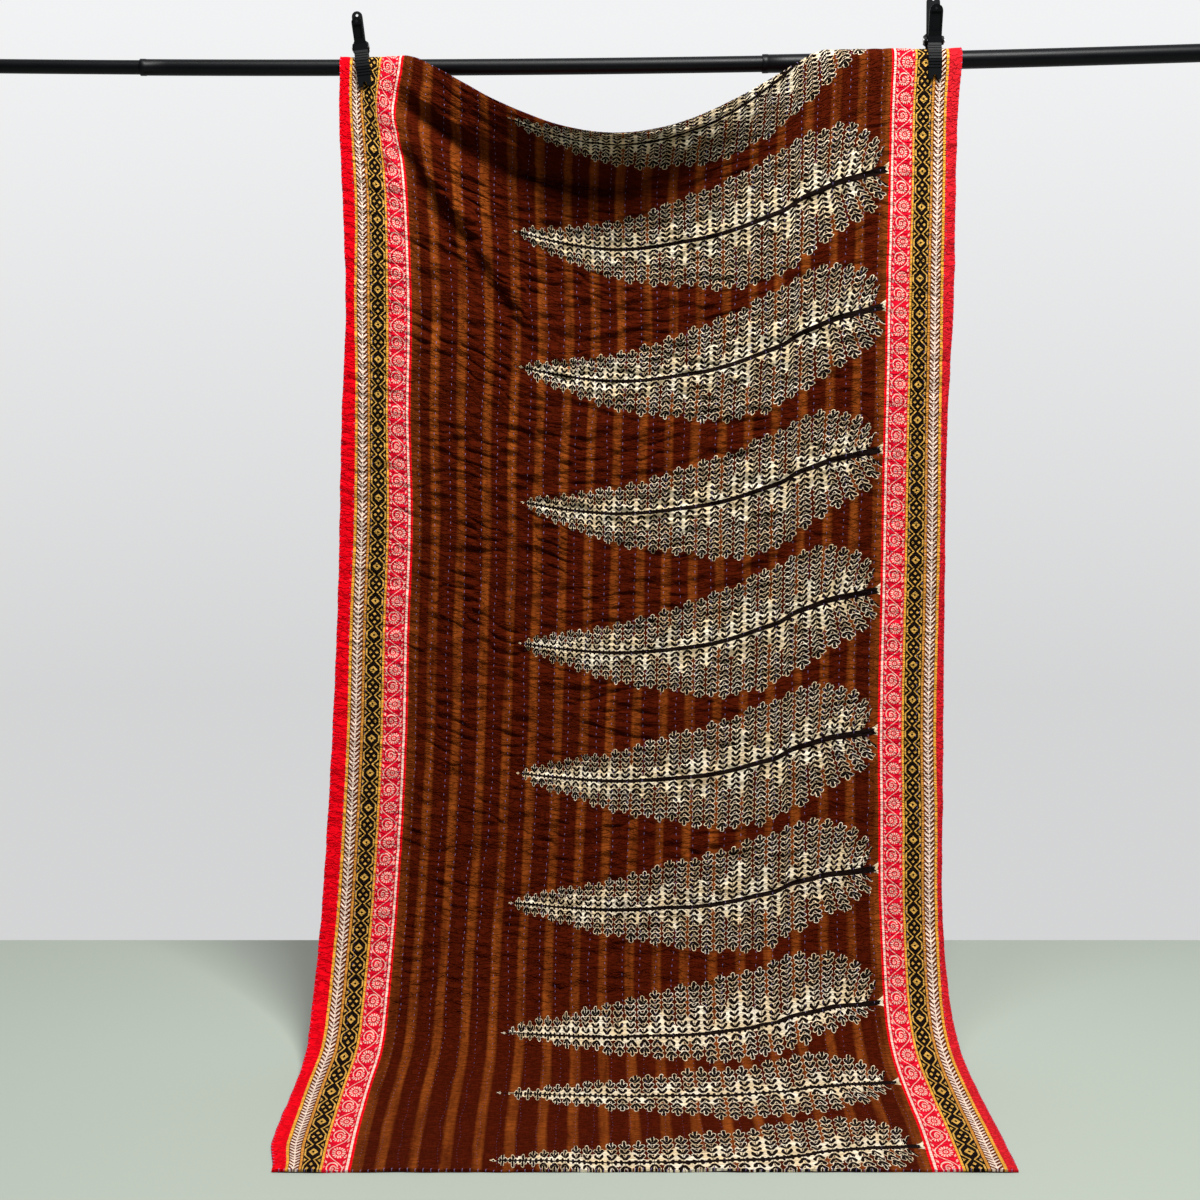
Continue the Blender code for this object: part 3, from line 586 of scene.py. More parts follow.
PRINT_RATE = (
    # along, metres of print on each metre of cloth: below 1, the print is stretched
    (0.000, 1.00), (1.450, 1.00), (1.550, 1.00), (1.600, 0.99), (1.735, 0.86), (1.800, 0.70),
    (1.900, 0.56), (2.050, 0.50), (2.291, 0.46),
)
CREAM_SHARE = (
    # share from tip to stalk, cream ground above and below as a share of the reach
    (0.00, 0.20, 0.20), (0.08, 0.42, 0.40), (0.15, 0.52, 0.50), (0.28, 0.44, 0.44),
    (0.36, 0.34, 0.28), (0.44, 0.42, 0.32), (0.54, 0.30, 0.32), (0.61, 0.46, 0.36),
    (0.66, 0.38, 0.26), (0.74, 0.31, 0.30), (0.82, 0.29, 0.28), (0.90, 0.34, 0.30),
    (0.96, 0.34, 0.26), (1.00, 0.30, 0.22),
)


def print_place(along):
    """Length of print from the top hem to here: the sum of its rate along the cloth."""
    fine = np.linspace(-0.3, 2.7, 3001)
    place = np.cumsum(smooth_table(PRINT_RATE, 1, fine)) * (fine[1] - fine[0])
    return np.interp(along, fine, place - np.interp(0.0, fine, place))


def sprig_number(share):
    """How many sprigs lie between the tip and here: the sum of one over their widths."""
    fine = np.linspace(-0.2, 1.2, 1401)
    table = np.array(SPRIG_WIDTH)
    width = np.interp(fine, table[:, 0], table[:, 1])
    count = np.cumsum((fine[1] - fine[0]) * LEAF_LENGTH / width)
    count = count - np.interp(0.0, fine, count)
    return np.interp(share, fine, count)


SPRIGS = float(sprig_number(1.0))


FAN_BELOW = (0.80, 0.75, 0.19, 2.2)          # slant at the stalk, start, length as shares, power
FAN_ABOVE = (0.43, 0.80, 0.142, 1.8)


def fan(share, below):
    """How far sprigs slant towards the stalk: none at first, most at the stalk."""
    low, high = (
        slant * np.clip((share - start) / length, 0.0, 1.2) ** power
        for slant, start, length, power in (FAN_BELOW, FAN_ABOVE)
    )
    return np.where(below, low, high)


def leaf_numbers(across, along):
    """Sprig number, distance out from the midrib (+ below), room to the outline, and leaf size."""
    out, size = np.full(across.shape, FAR_OUT), np.ones(across.shape)
    share, which = np.zeros(across.shape), np.zeros(across.shape)
    here_along = print_place(along)
    for number, (stalk, size_above, size_below, tip, rise) in enumerate(LEAVES):
        here = (across - tip) / (LEAF_END - tip)
        rib = stalk + smooth_table(MIDRIB, 1, here) - rise * ease((1.0 - here) / RISE_SHARE)
        off = here_along - print_place(rib)
        this = np.where(off > 0.0, size_below, size_above)
        nearest = np.abs(off / this) < np.abs(out / size)
        out, size = np.where(nearest, off, out), np.where(nearest, this, size)
        share, which = np.where(nearest, here, share), np.where(nearest, number, which)
    foot = share
    for _ in range(8):
        slant = fan(foot, out > 0.0) * np.abs(out) / LEAF_LENGTH
        foot = 0.5 * foot + 0.5 * (share - slant)
    above = smooth_table(OUTLINE, 1, foot)
    below = smooth_table(OUTLINE, 2, foot)
    room = np.where(out > 0.0, below, above) * size + OUTLINE_MARGIN - np.abs(out)
    between = np.diff(which, axis=0) != 0        # nothing is printed where two leaves meet
    room[:-1][between] = NO_ROOM
    room[1:][between] = NO_ROOM
    return np.stack([sprig_number(foot), out, room], axis=-1), size


LEAF, LEAF_SIZE = leaf_numbers(ACROSS, ALONG)
REPEAT = np.stack([print_place(ALONG), LEAF_SIZE, 0.0 * ALONG], axis=-1)
print(len(LEAVES), "leaves of", round(SPRIGS, 1), "sprigs")

# %% [markdown]
# ## Meshing the cloth in strips
# The quilt is one sheet, but as one mesh it would be too heavy and its texture image too coarse.
# So it is cut lengthwise into strips that share their edge points and normals
# exactly, and no seam shows. Each strip is a closed slab: a fine face, a plainer back with every
# third point, and a rim. The cloth's own coordinates go into the UV map named cloth, in metres.
# The map named OFBake lays each strip out in columns, so that an image made of it wastes little.

# %% Mesh from arrays
def add_piece(name, points, faces, materials, material_of_face=None):
    """A mesh object from point and face arrays. Faces is a list of arrays, one for each size."""
    mesh = bpy.data.meshes.new(name)
    mesh.vertices.add(len(points))
    mesh.vertices.foreach_set("co", np.asarray(points, np.float32).ravel())
    corners = np.concatenate([f.ravel() for f in faces])
    sizes = np.concatenate([np.full(len(f), f.shape[1]) for f in faces])
    mesh.loops.add(len(corners))
    mesh.loops.foreach_set("vertex_index", corners.astype(np.int32))
    mesh.polygons.add(len(sizes))
    starts = np.concatenate([[0], np.cumsum(sizes)[:-1]])
    mesh.polygons.foreach_set("loop_start", starts.astype(np.int32))
    mesh.update(calc_edges=True)
    for material in materials:
        mesh.materials.append(material)
    if material_of_face is not None:
        mesh.polygons.foreach_set("material_index", material_of_face.astype(np.int32))
    mesh.validate()
    mesh.shade_smooth()
    piece = bpy.data.objects.new(name, mesh)
    bpy.context.scene.collection.objects.link(piece)
    return piece


def grid_quads(rows, columns, start=0):
    """Four corners of each cell of a grid that is numbered row by row."""
    r, c = np.meshgrid(np.arange(rows - 1), np.arange(columns - 1), indexing="ij")
    a = (start + r * columns + c).ravel()
    return np.stack([a, a + columns, a + columns + 1, a + 1], axis=1)


def rim_walk(rows, columns):
    """Point numbers once round a grid's edge, as rows and columns."""
    top = [(0, c) for c in range(columns)]
    right = [(r, columns - 1) for r in range(1, rows)]
    bottom = [(rows - 1, c) for c in range(columns - 2, -1, -1)]
    left = [(r, 0) for r in range(rows - 2, 0, -1)]
    return np.array(top + right + bottom + left)


# %% One strip of the cloth
BAKE_COLUMNS = 3
BAKE_GAP = 0.010
RIM_WIDTH = 0.003


def set_uv(mesh, name, values):
    """A UV map with one pair for each face corner."""
    layer = mesh.uv_layers.new(name=name, do_init=False)
    layer.uv.foreach_set("vector", np.asarray(values, np.float32).ravel())


def bake_places(across, along, cell_along, width, is_back):
    """Where a point goes in the baking map: columns side by side, and the back at a third."""
    column = np.minimum((cell_along / QUILT_LENGTH * BAKE_COLUMNS).astype(int), BAKE_COLUMNS - 1)
    run = QUILT_LENGTH / BAKE_COLUMNS
    u = across + column * (width + BAKE_GAP)
    v = along - column * run
    back_u = BAKE_COLUMNS * (width + BAKE_GAP) + across / BACK_STEP
    back_v = along / BACK_STEP
    size = BAKE_COLUMNS * (width + BAKE_GAP) + width / BACK_STEP + 2.0 * BAKE_GAP
    places = np.stack([np.where(is_back, back_u, u), np.where(is_back, back_v, v)], axis=-1)
    return (places + BAKE_GAP) / max(size, run + 2.0 * BAKE_GAP)


def cloth_strip(name, first, last, materials):
    """The closed slab between two stitch channels, with its maps, leaf numbers and normals."""
    fine = slice(first * COLUMNS_PER_CHANNEL, last * COLUMNS_PER_CHANNEL + 1)
    face, back = FACE[:, fine], BACK[::BACK_STEP, fine][:, ::BACK_STEP]
    rows, columns = face.shape[:2]
    back_rows, back_columns = back.shape[:2]
    count = rows * columns
    points = np.concatenate([face.reshape(-1, 3), back.reshape(-1, 3)])
    front_quads = grid_quads(rows, columns)
    back_quads = grid_quads(back_rows, back_columns, count)[:, ::-1]
    walk = rim_walk(rows, columns)
    near = walk[:, 0] * columns + walk[:, 1]
    far = count + walk[:, 0] // BACK_STEP * back_columns + walk[:, 1] // BACK_STEP
    k = np.arange(0, len(near), BACK_STEP)
    step = [(k + j) % len(near) for j in range(BACK_STEP + 1)]
    rim = np.stack([near[s] for s in step] + [far[step[-1]], far[step[0]]], axis=1)
    kinds = np.repeat([0, 1, 0], [len(front_quads), len(back_quads), len(rim)])
    piece = add_piece(name, points, [front_quads, back_quads, rim], materials, kinds)
    dress_strip(piece, fine, (front_quads, back_quads, rim), count)
    return piece


def face_and_back(table, fine):
    """A grid's values at the strip's face points and then at its back points."""
    behind = table[::BACK_STEP, fine][:, ::BACK_STEP]
    parts = table.shape[2:]
    return np.concatenate([table[:, fine].reshape(-1, *parts), behind.reshape(-1, *parts)])


def dress_strip(piece, fine, faces, count):
    """Puts the strip's UV maps, leaf numbers and shading normals on its mesh."""
    mesh = piece.data
    across, along = face_and_back(ACROSS, fine), face_and_back(ALONG, fine)
    corners = np.concatenate([f.ravel() for f in faces])
    a, l = across[corners], along[corners]
    set_uv(mesh, "cloth", np.stack([a + 0.5 * QUILT_WIDTH, l], axis=-1))
    cell = np.concatenate([np.repeat(along[f].min(axis=1), f.shape[1]) for f in faces])
    side = np.repeat([0, 1, 0], [f.size for f in faces])
    low, high = across.min(), across.max()
    rim_start = faces[0].size + faces[1].size
    on_far_side = np.zeros(len(corners))
    on_far_side[rim_start:] = corners[rim_start:] >= count
    push = RIM_WIDTH * on_far_side
    a = a + push * (np.isclose(a, high) * 1.0 - np.isclose(a, low) * 1.0)
    l = l + push * (np.isclose(l, QUILT_LENGTH) * 1.0 - np.isclose(l, 0.0) * 1.0)
    set_uv(mesh, "OFBake", bake_places(a - low, l, cell + 1e-6, high - low, side == 1))
    for name, table in (("leaf", LEAF), ("repeat", REPEAT)):
        numbers = mesh.attributes.new(name, "FLOAT_VECTOR", "POINT")
        numbers.data.foreach_set("vector", face_and_back(table, fine).astype(np.float32).ravel())
    back_normal = BACK_NORMAL[:, fine.start // BACK_STEP:fine.stop // BACK_STEP + 1].reshape(-1, 3)
    normals = np.concatenate([FACE_NORMAL[:, fine].reshape(-1, 3), back_normal])[corners]
    flat = np.empty(3 * len(mesh.polygons), np.float32)
    mesh.polygons.foreach_get("normal", flat)
    rim_flat = flat.reshape(-1, 3)[len(faces[0]) + len(faces[1]):]
    normals[rim_start:] = np.repeat(rim_flat, faces[2].shape[1], axis=0)
    mesh.normals_split_custom_set(normals.tolist())


# %% [markdown]
# ## Writing patterns as sums
# A printed pattern is a sum of simple shapes, so its nodes are easiest to read as arithmetic.
# The small class below wraps a node's output: adding, multiplying or comparing two of them adds
# one Math node. Each pattern is then a node group with named inputs and outputs, which hands
# out only masks and values. All lengths inside the groups are in millimetres.

# %% Arithmetic with nodes
class Wire:
    """One output of a node. Arithmetic on it adds Math nodes to the same tree."""

    def __init__(self, socket):
        self.socket = socket
        self.tree = socket.id_data

    def math(self, operation, *others, clamp=False):
        return math_node(self.tree, operation, (self, *others), clamp)

    def __add__(self, other):
        return self.math("ADD", other)

    def __sub__(self, other):
        return self.math("SUBTRACT", other)

    def __rsub__(self, other):
        return math_node(self.tree, "SUBTRACT", (other, self))

    def __mul__(self, other):
        return self.math("MULTIPLY", other)

    def __truediv__(self, other):
        return self.math("DIVIDE", other)

    def __abs__(self):
        return self.math("ABSOLUTE")

    def __lt__(self, other):
        return self.math("LESS_THAN", other)

    def __gt__(self, other):
        return self.math("GREATER_THAN", other)

    def __and__(self, other):
        return self.math("MULTIPLY", other)

    def __or__(self, other):
        return self.math("MAXIMUM", other)

    def floor(self):
        return self.math("FLOOR")

    def fraction(self):
        return self.math("FRACT")

    def clamped(self):
        """The same value, held between 0 and 1."""
        return self.math("ADD", 0.0, clamp=True)


def feed(socket, value):
    """Links a wire to a socket, or sets the socket to a number or colour."""
    if isinstance(value, Wire):
        value.tree.links.new(value.socket, socket)
    else:
        socket.default_value = value


def math_node(tree, operation, values, clamp=False):
    """One Math node fed with wires or numbers."""
    node = tree.nodes.new("ShaderNodeMath")
    node.operation = operation
    node.use_clamp = clamp
    for socket, value in zip(node.inputs, values):
        feed(socket, value)
    return Wire(node.outputs[0])


def distance(x, y):
    """Length of the pair (x, y)."""
    return (x * x + y * y).math("SQRT")


def choose(mask, there, elsewhere):
    """One number where the mask is 1 and another where it is 0."""
    return mask * there + (1.0 - mask) * elsewhere


# %% Groups, curves and colours
def start_group(name, inputs, outputs):
    """A new node group. Returns its tree, a wire for each input, and its output node."""
    tree = bpy.data.node_groups.new(name, "ShaderNodeTree")
    for label in inputs:
        tree.interface.new_socket(label, in_out="INPUT", socket_type="NodeSocketFloat")
    for label in outputs:
        kind = "NodeSocketColor" if label == "Color" else "NodeSocketFloat"
        tree.interface.new_socket(label, in_out="OUTPUT", socket_type=kind)
    entry = tree.nodes.new("NodeGroupInput")
    leave = tree.nodes.new("NodeGroupOutput")
    return tree, [Wire(entry.outputs[label]) for label in inputs], leave


def use_group(tree, name, *values):
    """Places a group in a tree, feeds its inputs in order and returns its outputs as wires."""
    node = tree.nodes.new("ShaderNodeGroup")
    node.node_tree = bpy.data.node_groups[name]
    for socket, value in zip(node.inputs, values):
        feed(socket, value)
    return [Wire(socket) for socket in node.outputs]


def curve_of(wire, rows, column, scale):
    """A Float Curve node through a table's rows: sprig number in, the column's value out."""
    node = wire.tree.nodes.new("ShaderNodeFloatCurve")
    points = node.mapping.curves[0].points
    table = [(float(sprig_number(r[0])) / SPRIGS, r[column] / scale) for r in rows if 0.0 <= r[0] <= 1.0]
    for _ in range(len(table) - 2):
        points.new(0.5, 0.5)
    for point, (x, y) in zip(points, table):
        point.location = (x, max(y, 0.0))
        point.handle_type = "VECTOR"
    node.mapping.update()
    feed(node.inputs["Value"], wire)
    return Wire(node.outputs[0]) * scale


def noise(tree, vector, scale, detail=2.0, roughness=0.5):
    """Smooth noise from 0 to 1 at the given scale, in features per metre."""
    node = tree.nodes.new("ShaderNodeTexNoise")
    feed(node.inputs["Vector"], vector)
    node.inputs["Scale"].default_value = scale
    node.inputs["Detail"].default_value = detail
    node.inputs["Roughness"].default_value = roughness
    return Wire(node.outputs["Fac"])


def blend(mask, below, above):
    """The colour above where the mask is 1, the colour below where it is 0."""
    node = mask.tree.nodes.new("ShaderNodeMix")
    node.data_type = "RGBA"
    feed(node.inputs["Factor"], mask)
    feed(node.inputs[6], below if isinstance(below, Wire) else (*below, 1.0))
    feed(node.inputs[7], above if isinstance(above, Wire) else (*above, 1.0))
    return Wire(node.outputs[2])


# %% [markdown]
# ## The leaf
# A leaf is a comb of sprigs. Each sprig is a stem with pairs of club-shaped leaflets that slant
# outwards and away from the midrib, one leaflet at its end, and a fine cream line round each.
# Near the midrib the ground between sprigs is cream, further out the brown cloth shows. The
# distance to the nearest leaflet decides everything: black within it, cream just outside it.

# %% Leaf group
LEAFLET_PITCH = 9.8          # mm from one pair of leaflets to the next
LEAFLET_SLANT = math.radians(46.0)
LEAFLET_START, LEAFLET_RUN = 2.8, 6.7        # mm from the stem, and length
FULL_SPRIG = 24.0            # mm that a sprig of full width takes
LEAFLET_THIN, LEAFLET_SWELL = 2.10, 0.80     # mm, half thickness at the stem and its growth
HALO = 1.05                  # mm, the cream line round each leaflet
END_START, END_RUN = 1.5, 6.5                # mm, the upright leaflet: from the last pair, and length
COLUMN_WOBBLE, OUT_WOBBLE = 0.26, 3.2        # unevenness across in sprigs, and outwards in mm
RIB_AT_TIP, RIB_GROWTH, RIB_WOBBLE = 1.6, 4.8, 2.8           # mm, half the midrib's thickness
CURVE_TOP = 0.13             # metres, more than the longest sprig


def leaflet_gap(x, y, pairs):
    """Distance to the nearest slanting leaflet: a tapered rod, thin at the stem, round at its end."""
    rise = y - x * math.tan(LEAFLET_SLANT)
    number = (rise / LEAFLET_PITCH).floor()
    off = rise - (number + 0.5) * LEAFLET_PITCH
    run = x / math.cos(LEAFLET_SLANT) + off * math.sin(LEAFLET_SLANT)
    square = off * math.cos(LEAFLET_SLANT)
    share = ((run - LEAFLET_START) / LEAFLET_RUN).clamped()
    gap = distance(run - share * LEAFLET_RUN - LEAFLET_START, square)
    gap = gap - share * LEAFLET_SWELL - LEAFLET_THIN
    missing = (number < -1.5) | (number > pairs - 0.5)
    return gap + missing * 50.0


def end_leaflet_gap(x, y, pairs):
    """Distance to the upright leaflet at the sprig's end."""
    start = pairs * LEAFLET_PITCH + END_START
    share = ((y - start) / END_RUN).clamped()
    return distance(x, y - start - share * END_RUN) - share * LEAFLET_SWELL - LEAFLET_THIN


def make_leaf_group():
    """Masks of a leaf's black and cream parts, from its numbers and an uneven mask."""
    _tree, (column, out, room, size, wobble), leave = start_group(
        "Leaf print", ["Sprig", "Out", "Room", "Size", "Wobble"], ["Black", "Cream"])
    column = column + (wobble - 0.5) * COLUMN_WOBBLE
    y = abs(out) * 1000.0 + (wobble - 0.5) * OUT_WOBBLE
    above = out < 0.0
    stem = (column + 0.5).floor()
    x = abs(column - stem) * FULL_SPRIG
    place = stem / SPRIGS
    reach_above, reach_below = (curve_of(place, OUTLINE, column_of, CURVE_TOP) for column_of in (1, 2))
    reach = choose(above, reach_above, reach_below) * size * 1000.0
    pairs = ((reach - 6.0) / LEAFLET_PITCH).floor()
    gap = leaflet_gap(x, y, pairs).math("MINIMUM", end_leaflet_gap(x, y, pairs))
    stem_line = (x < 0.5) & (y < pairs * LEAFLET_PITCH + 2.0)
    rib = (place * RIB_GROWTH + RIB_AT_TIP + (wobble - 0.5) * RIB_WOBBLE) * size
    flare = ((column - SPRIGS + 0.60) / 0.60).clamped()
    on_rib = (y < rib * (1.0 - flare * 0.35)) & (column > 0.3) & (column < SPRIGS - 0.12)
    black = ((gap < 0.0) & (column < SPRIGS - 1.5)) | stem_line & (column < SPRIGS - 1.5) | on_rib

    ground_above = curve_of(place, CREAM_SHARE, 1, 1.0)
    ground_below = curve_of(place, CREAM_SHARE, 2, 1.0)
    lane = column.floor()
    uneven = (lane * 0.37 + above * 0.21).fraction() - 0.5
    ground = (choose(above, ground_above, ground_below) + uneven * 0.50) * reach
    tail = (y < flare * flare * size * 11.0 + rib) & (column > SPRIGS - 0.60)
    halo = (gap < HALO) & (column < SPRIGS - 1.5)
    cream = halo | (y < ground) & (column < SPRIGS - 1.9) | tail
    inside = room > 0.0
    feed(leave.inputs["Black"], black & inside)
    feed(leave.inputs["Cream"], cream & inside & (1.0 - black))


make_leaf_group()

# %% [markdown]
# ## The side borders
# Both side borders have the same bands, mirrored. From the edge inwards: plain red, a yellow
# line, cream chevrons on brown, an orange line, a black band with a chain of lozenges, a yellow
# line, a pink-red band with a flowering vine, a white line and a red one. Each patterned band
# is a group that takes the place across the band and along the cloth.

# %% Chevron, lozenge and vine groups
CHEVRON_PITCH = 8.8
LOZENGE_PITCH = 31.0
VINE_PITCH = 31.0
PETALS, PETAL_FOOT, PETAL_END = 14, 5.2, 10.2
FLOWER_SHIFT, STEM_SWING, STEM_HALF_WIDTH = 2.6, 12.6, 0.95


def make_chevron_group():
    """Cream arms that rise outwards from a cream spine, with narrow dark gaps."""
    _tree, (x, y), leave = start_group("Chevron band", ["Across", "Along"], ["Cream"])
    phase = ((y + abs(x) * 0.95) / CHEVRON_PITCH).fraction()
    share = choose(x < 0.0, 0.60, 0.52) - abs(x) * 0.018
    arms = (phase < share) & (abs(x) < 8.3)
    feed(leave.inputs["Cream"], arms | (abs(x) < 1.1))


def make_lozenge_group():
    """Two zigzag lines that close into cells, each with one square or four small ones."""
    _tree, (x, y), leave = start_group("Lozenge band", ["Across", "Along"], ["Gold"])
    x = abs(x)
    cell = (y / LOZENGE_PITCH).floor()
    u = abs(y - (cell + 0.5) * LOZENGE_PITCH)
    half = 0.5 * LOZENGE_PITCH
    width = ((half - u) * 0.97 + 2.7).math("MINIMUM", 12.2)
    lines = abs(x - width) < 1.30
    corner = (half - u < (x - 8.8) * 0.80) & (x < 13.1) & (x > 8.8)
    hollow = (half - u < (x - 10.9) * 0.80) & (x < 11.9)
    corner = corner & (1.0 - hollow)
    ring = (x + u < 7.2) & (x + u > 2.5)
    ends = x + abs(u - 7.2) < 2.9
    sides = abs(x - 5.4) + u < 2.9
    even = (cell * 0.5).fraction() < 0.25
    feed(leave.inputs["Gold"], lines | corner | choose(even, ring, ends | sides))


def make_vine_group():
    """Daisies by a waving stem, full ones and half ones in turn, with curls and small leaves."""
    _tree, (x, y), leave = start_group("Flower vine", ["Across", "Along"], ["Cream"])
    cell = (y / VINE_PITCH).floor()
    u = y - (cell + 0.5) * VINE_PITCH
    wave = ((y / VINE_PITCH - 0.5) * math.pi).math("COSINE")
    side = choose(wave > 0.0, 1.0, -1.0)
    full = wave > 0.0
    dx = x - side * FLOWER_SHIFT
    radius = distance(dx, u)
    turn = u.math("ARCTAN2", dx)
    petal = (turn * (PETALS / (2.0 * math.pi))).fraction()
    reach = (petal - 0.5) * (petal - 0.5) * -9.0 + PETAL_END
    shown = full | (u + dx * 0.6 > -1.0)
    petals = (abs(petal - 0.5) < 0.31) & (radius > PETAL_FOOT) & (radius < reach) & shown
    ring = (abs(radius - 2.3) < 0.65) | (radius < 0.6)
    curl = (abs(radius + u * 0.35 - 7.6) < 0.75) & (1.0 - shown)
    inner = (abs(distance(dx - 1.5, u + 2.5) - 3.6) < 0.7) & (1.0 - shown)
    stem = abs(x + wave * STEM_SWING) < STEM_HALF_WIDTH
    sprout = (y / (VINE_PITCH / 3.0) + abs(x) * 0.075).fraction()
    leaves = (sprout < 0.44) & (abs(x) > 11.8) & (radius > 12.4) & (abs(x) < 15.2)
    notch = (abs(sprout - 0.20) < 0.05) & (abs(x) > 13.2)
    feed(leave.inputs["Cream"], petals | ring | curl | inner | stem | leaves & (1.0 - notch))


make_chevron_group()
make_lozenge_group()
make_vine_group()

# %% [markdown]
# ## The brown field
# Between the borders the cotton is dark brown with lighter lengthwise stripes, about five
# centimetres apart. The dye is uneven: each stripe has soft edges, runs a little lighter or
# darker along its length, and fine threads streak it.

# %% Striped field and weave groups
STRIPE_PITCH, STRIPE_SHIFT, STRIPE_HALF_WIDTH, STRIPE_EDGE = 49.4, 28.2, 10.4, 5.0
WEAVE_PITCH = 0.9            # mm over two threads
DARK_BROWN = (0.056, 0.0052, 0.0009)
LIGHT_BROWN = (0.236, 0.053, 0.0070)


def cloth_vector(tree, stretch_across=1.0, stretch_along=1.0):
    """The cloth map as a vector, stretched for streaks."""
    source = tree.nodes.new("ShaderNodeUVMap")
    source.uv_map = "cloth"
    scaled = tree.nodes.new("ShaderNodeVectorMath")
    scaled.operation = "MULTIPLY"
    feed(scaled.inputs[0], Wire(source.outputs["UV"]))
    scaled.inputs[1].default_value = (stretch_across, stretch_along, 1.0)
    return Wire(scaled.outputs[0])


def make_field_group():
    """Light stripes on dark brown, from the place across and two uneven masks."""
    _tree, (x, tone, streak), leave = start_group(
        "Striped field", ["Across", "Tone", "Streak"], ["Color"])
    phase = ((x + STRIPE_SHIFT + (tone - 0.5) * 8.0) / STRIPE_PITCH).fraction()
    off = abs(phase - 0.5) * STRIPE_PITCH
    stripe = ((STRIPE_HALF_WIDTH - off) / STRIPE_EDGE).clamped()
    edge = ((abs(x) - 424.0) / 3.0).clamped() * 0.6
    light = (stripe | edge) * ((tone - 0.5) * 1.9 + 0.60)
    light = light + (streak - 0.5) * 0.45
    feed(leave.inputs["Color"], blend(light.clamped(), DARK_BROWN, LIGHT_BROWN))


def make_weave_group():
    """Height of a plain weave with uneven threads, from 0 to 1."""
    _tree, (x, y, uneven), leave = start_group("Plain weave", ["Across", "Along", "Uneven"], ["Height"])
    over = (x * (2.0 * math.pi / WEAVE_PITCH)).math("SINE")
    under = (y * (2.0 * math.pi / WEAVE_PITCH)).math("SINE")
    feed(leave.inputs["Height"], over * under * 0.25 + uneven * 0.5 + 0.25)


make_field_group()
make_weave_group()

# %% [markdown]
# ## Printed cotton
# The face's material asks where it is on the cloth and lays the bands over the field, one after
# another, as a printer would. Cotton is matt, with almost no shine, and its
# colour is never quite even, so a broad and a fine noise tint it.

# %% Colours of the print
RED = (0.77, 0.002, 0.009)
PINK_RED = (0.68, 0.005, 0.022)
YELLOW = (0.75, 0.36, 0.042)
ORANGE = (0.58, 0.24, 0.040)
GOLD, PALE_GOLD = (0.55, 0.27, 0.045), (0.66, 0.40, 0.090)
CREAM = (0.72, 0.56, 0.34)
PALE_CREAM = (0.86, 0.76, 0.58)
CHEVRON_CREAM = (0.80, 0.62, 0.50)
ROSE_CREAM = (0.88, 0.50, 0.41)
WHITE = (0.88, 0.60, 0.50)
BLACK = (0.009, 0.005, 0.004)
BORDER_BROWN = (0.120, 0.020, 0.002)
SHADED_RIGHT_RED = (0.62, 0.014, 0.022)             # the right border's plain red, painted darker as shade on that side
BANDS = (
    # from the edge inwards in mm, the band's inner end, and its colour
    (0.0, 29.5, RED), (29.5, 34.0, YELLOW), (34.0, 52.7, BORDER_BROWN), (52.7, 56.7, ORANGE),
    (56.7, 86.3, BLACK), (86.3, 90.0, YELLOW), (90.0, 124.0, PINK_RED), (124.0, 127.8, WHITE),
    (127.8, 132.0, RED),
)
PATTERNS = (
    # group, middle of its band from the edge in mm, half width of the band
    ("Chevron band", 43.35, 9.0), ("Lozenge band", 71.5, 14.0), ("Flower vine", 106.8, 15.8),
)


def new_material(name):
    """An empty node material, its tree and its Principled shader."""
    made = bpy.data.materials.new(name)
    made.use_nodes = True
    return made, made.node_tree, made.node_tree.nodes["Principled BSDF"]


def bump(tree, height, strength, depth, normal=None):
    """A Bump node on a height wire."""
    node = tree.nodes.new("ShaderNodeBump")
    node.inputs["Strength"].default_value = strength
    node.inputs["Distance"].default_value = depth
    feed(node.inputs["Height"], height)
    if normal is not None:
        feed(node.inputs["Normal"], normal)
    return Wire(node.outputs["Normal"])


def attribute_parts(tree, name):
    """The three numbers that the mesh carries at each point under one name."""
    numbers = tree.nodes.new("ShaderNodeAttribute")
    numbers.attribute_name = name
    parts = tree.nodes.new("ShaderNodeSeparateXYZ")
    feed(parts.inputs[0], Wire(numbers.outputs["Vector"]))
    return [Wire(socket) for socket in parts.outputs]


def cloth_place(tree):
    """Where a point is on the cloth in mm: from the left edge, and from the top hem."""
    split = tree.nodes.new("ShaderNodeSeparateXYZ")
    feed(split.inputs[0], cloth_vector(tree, 1000.0, 1000.0))
    return Wire(split.outputs["X"]), Wire(split.outputs["Y"])


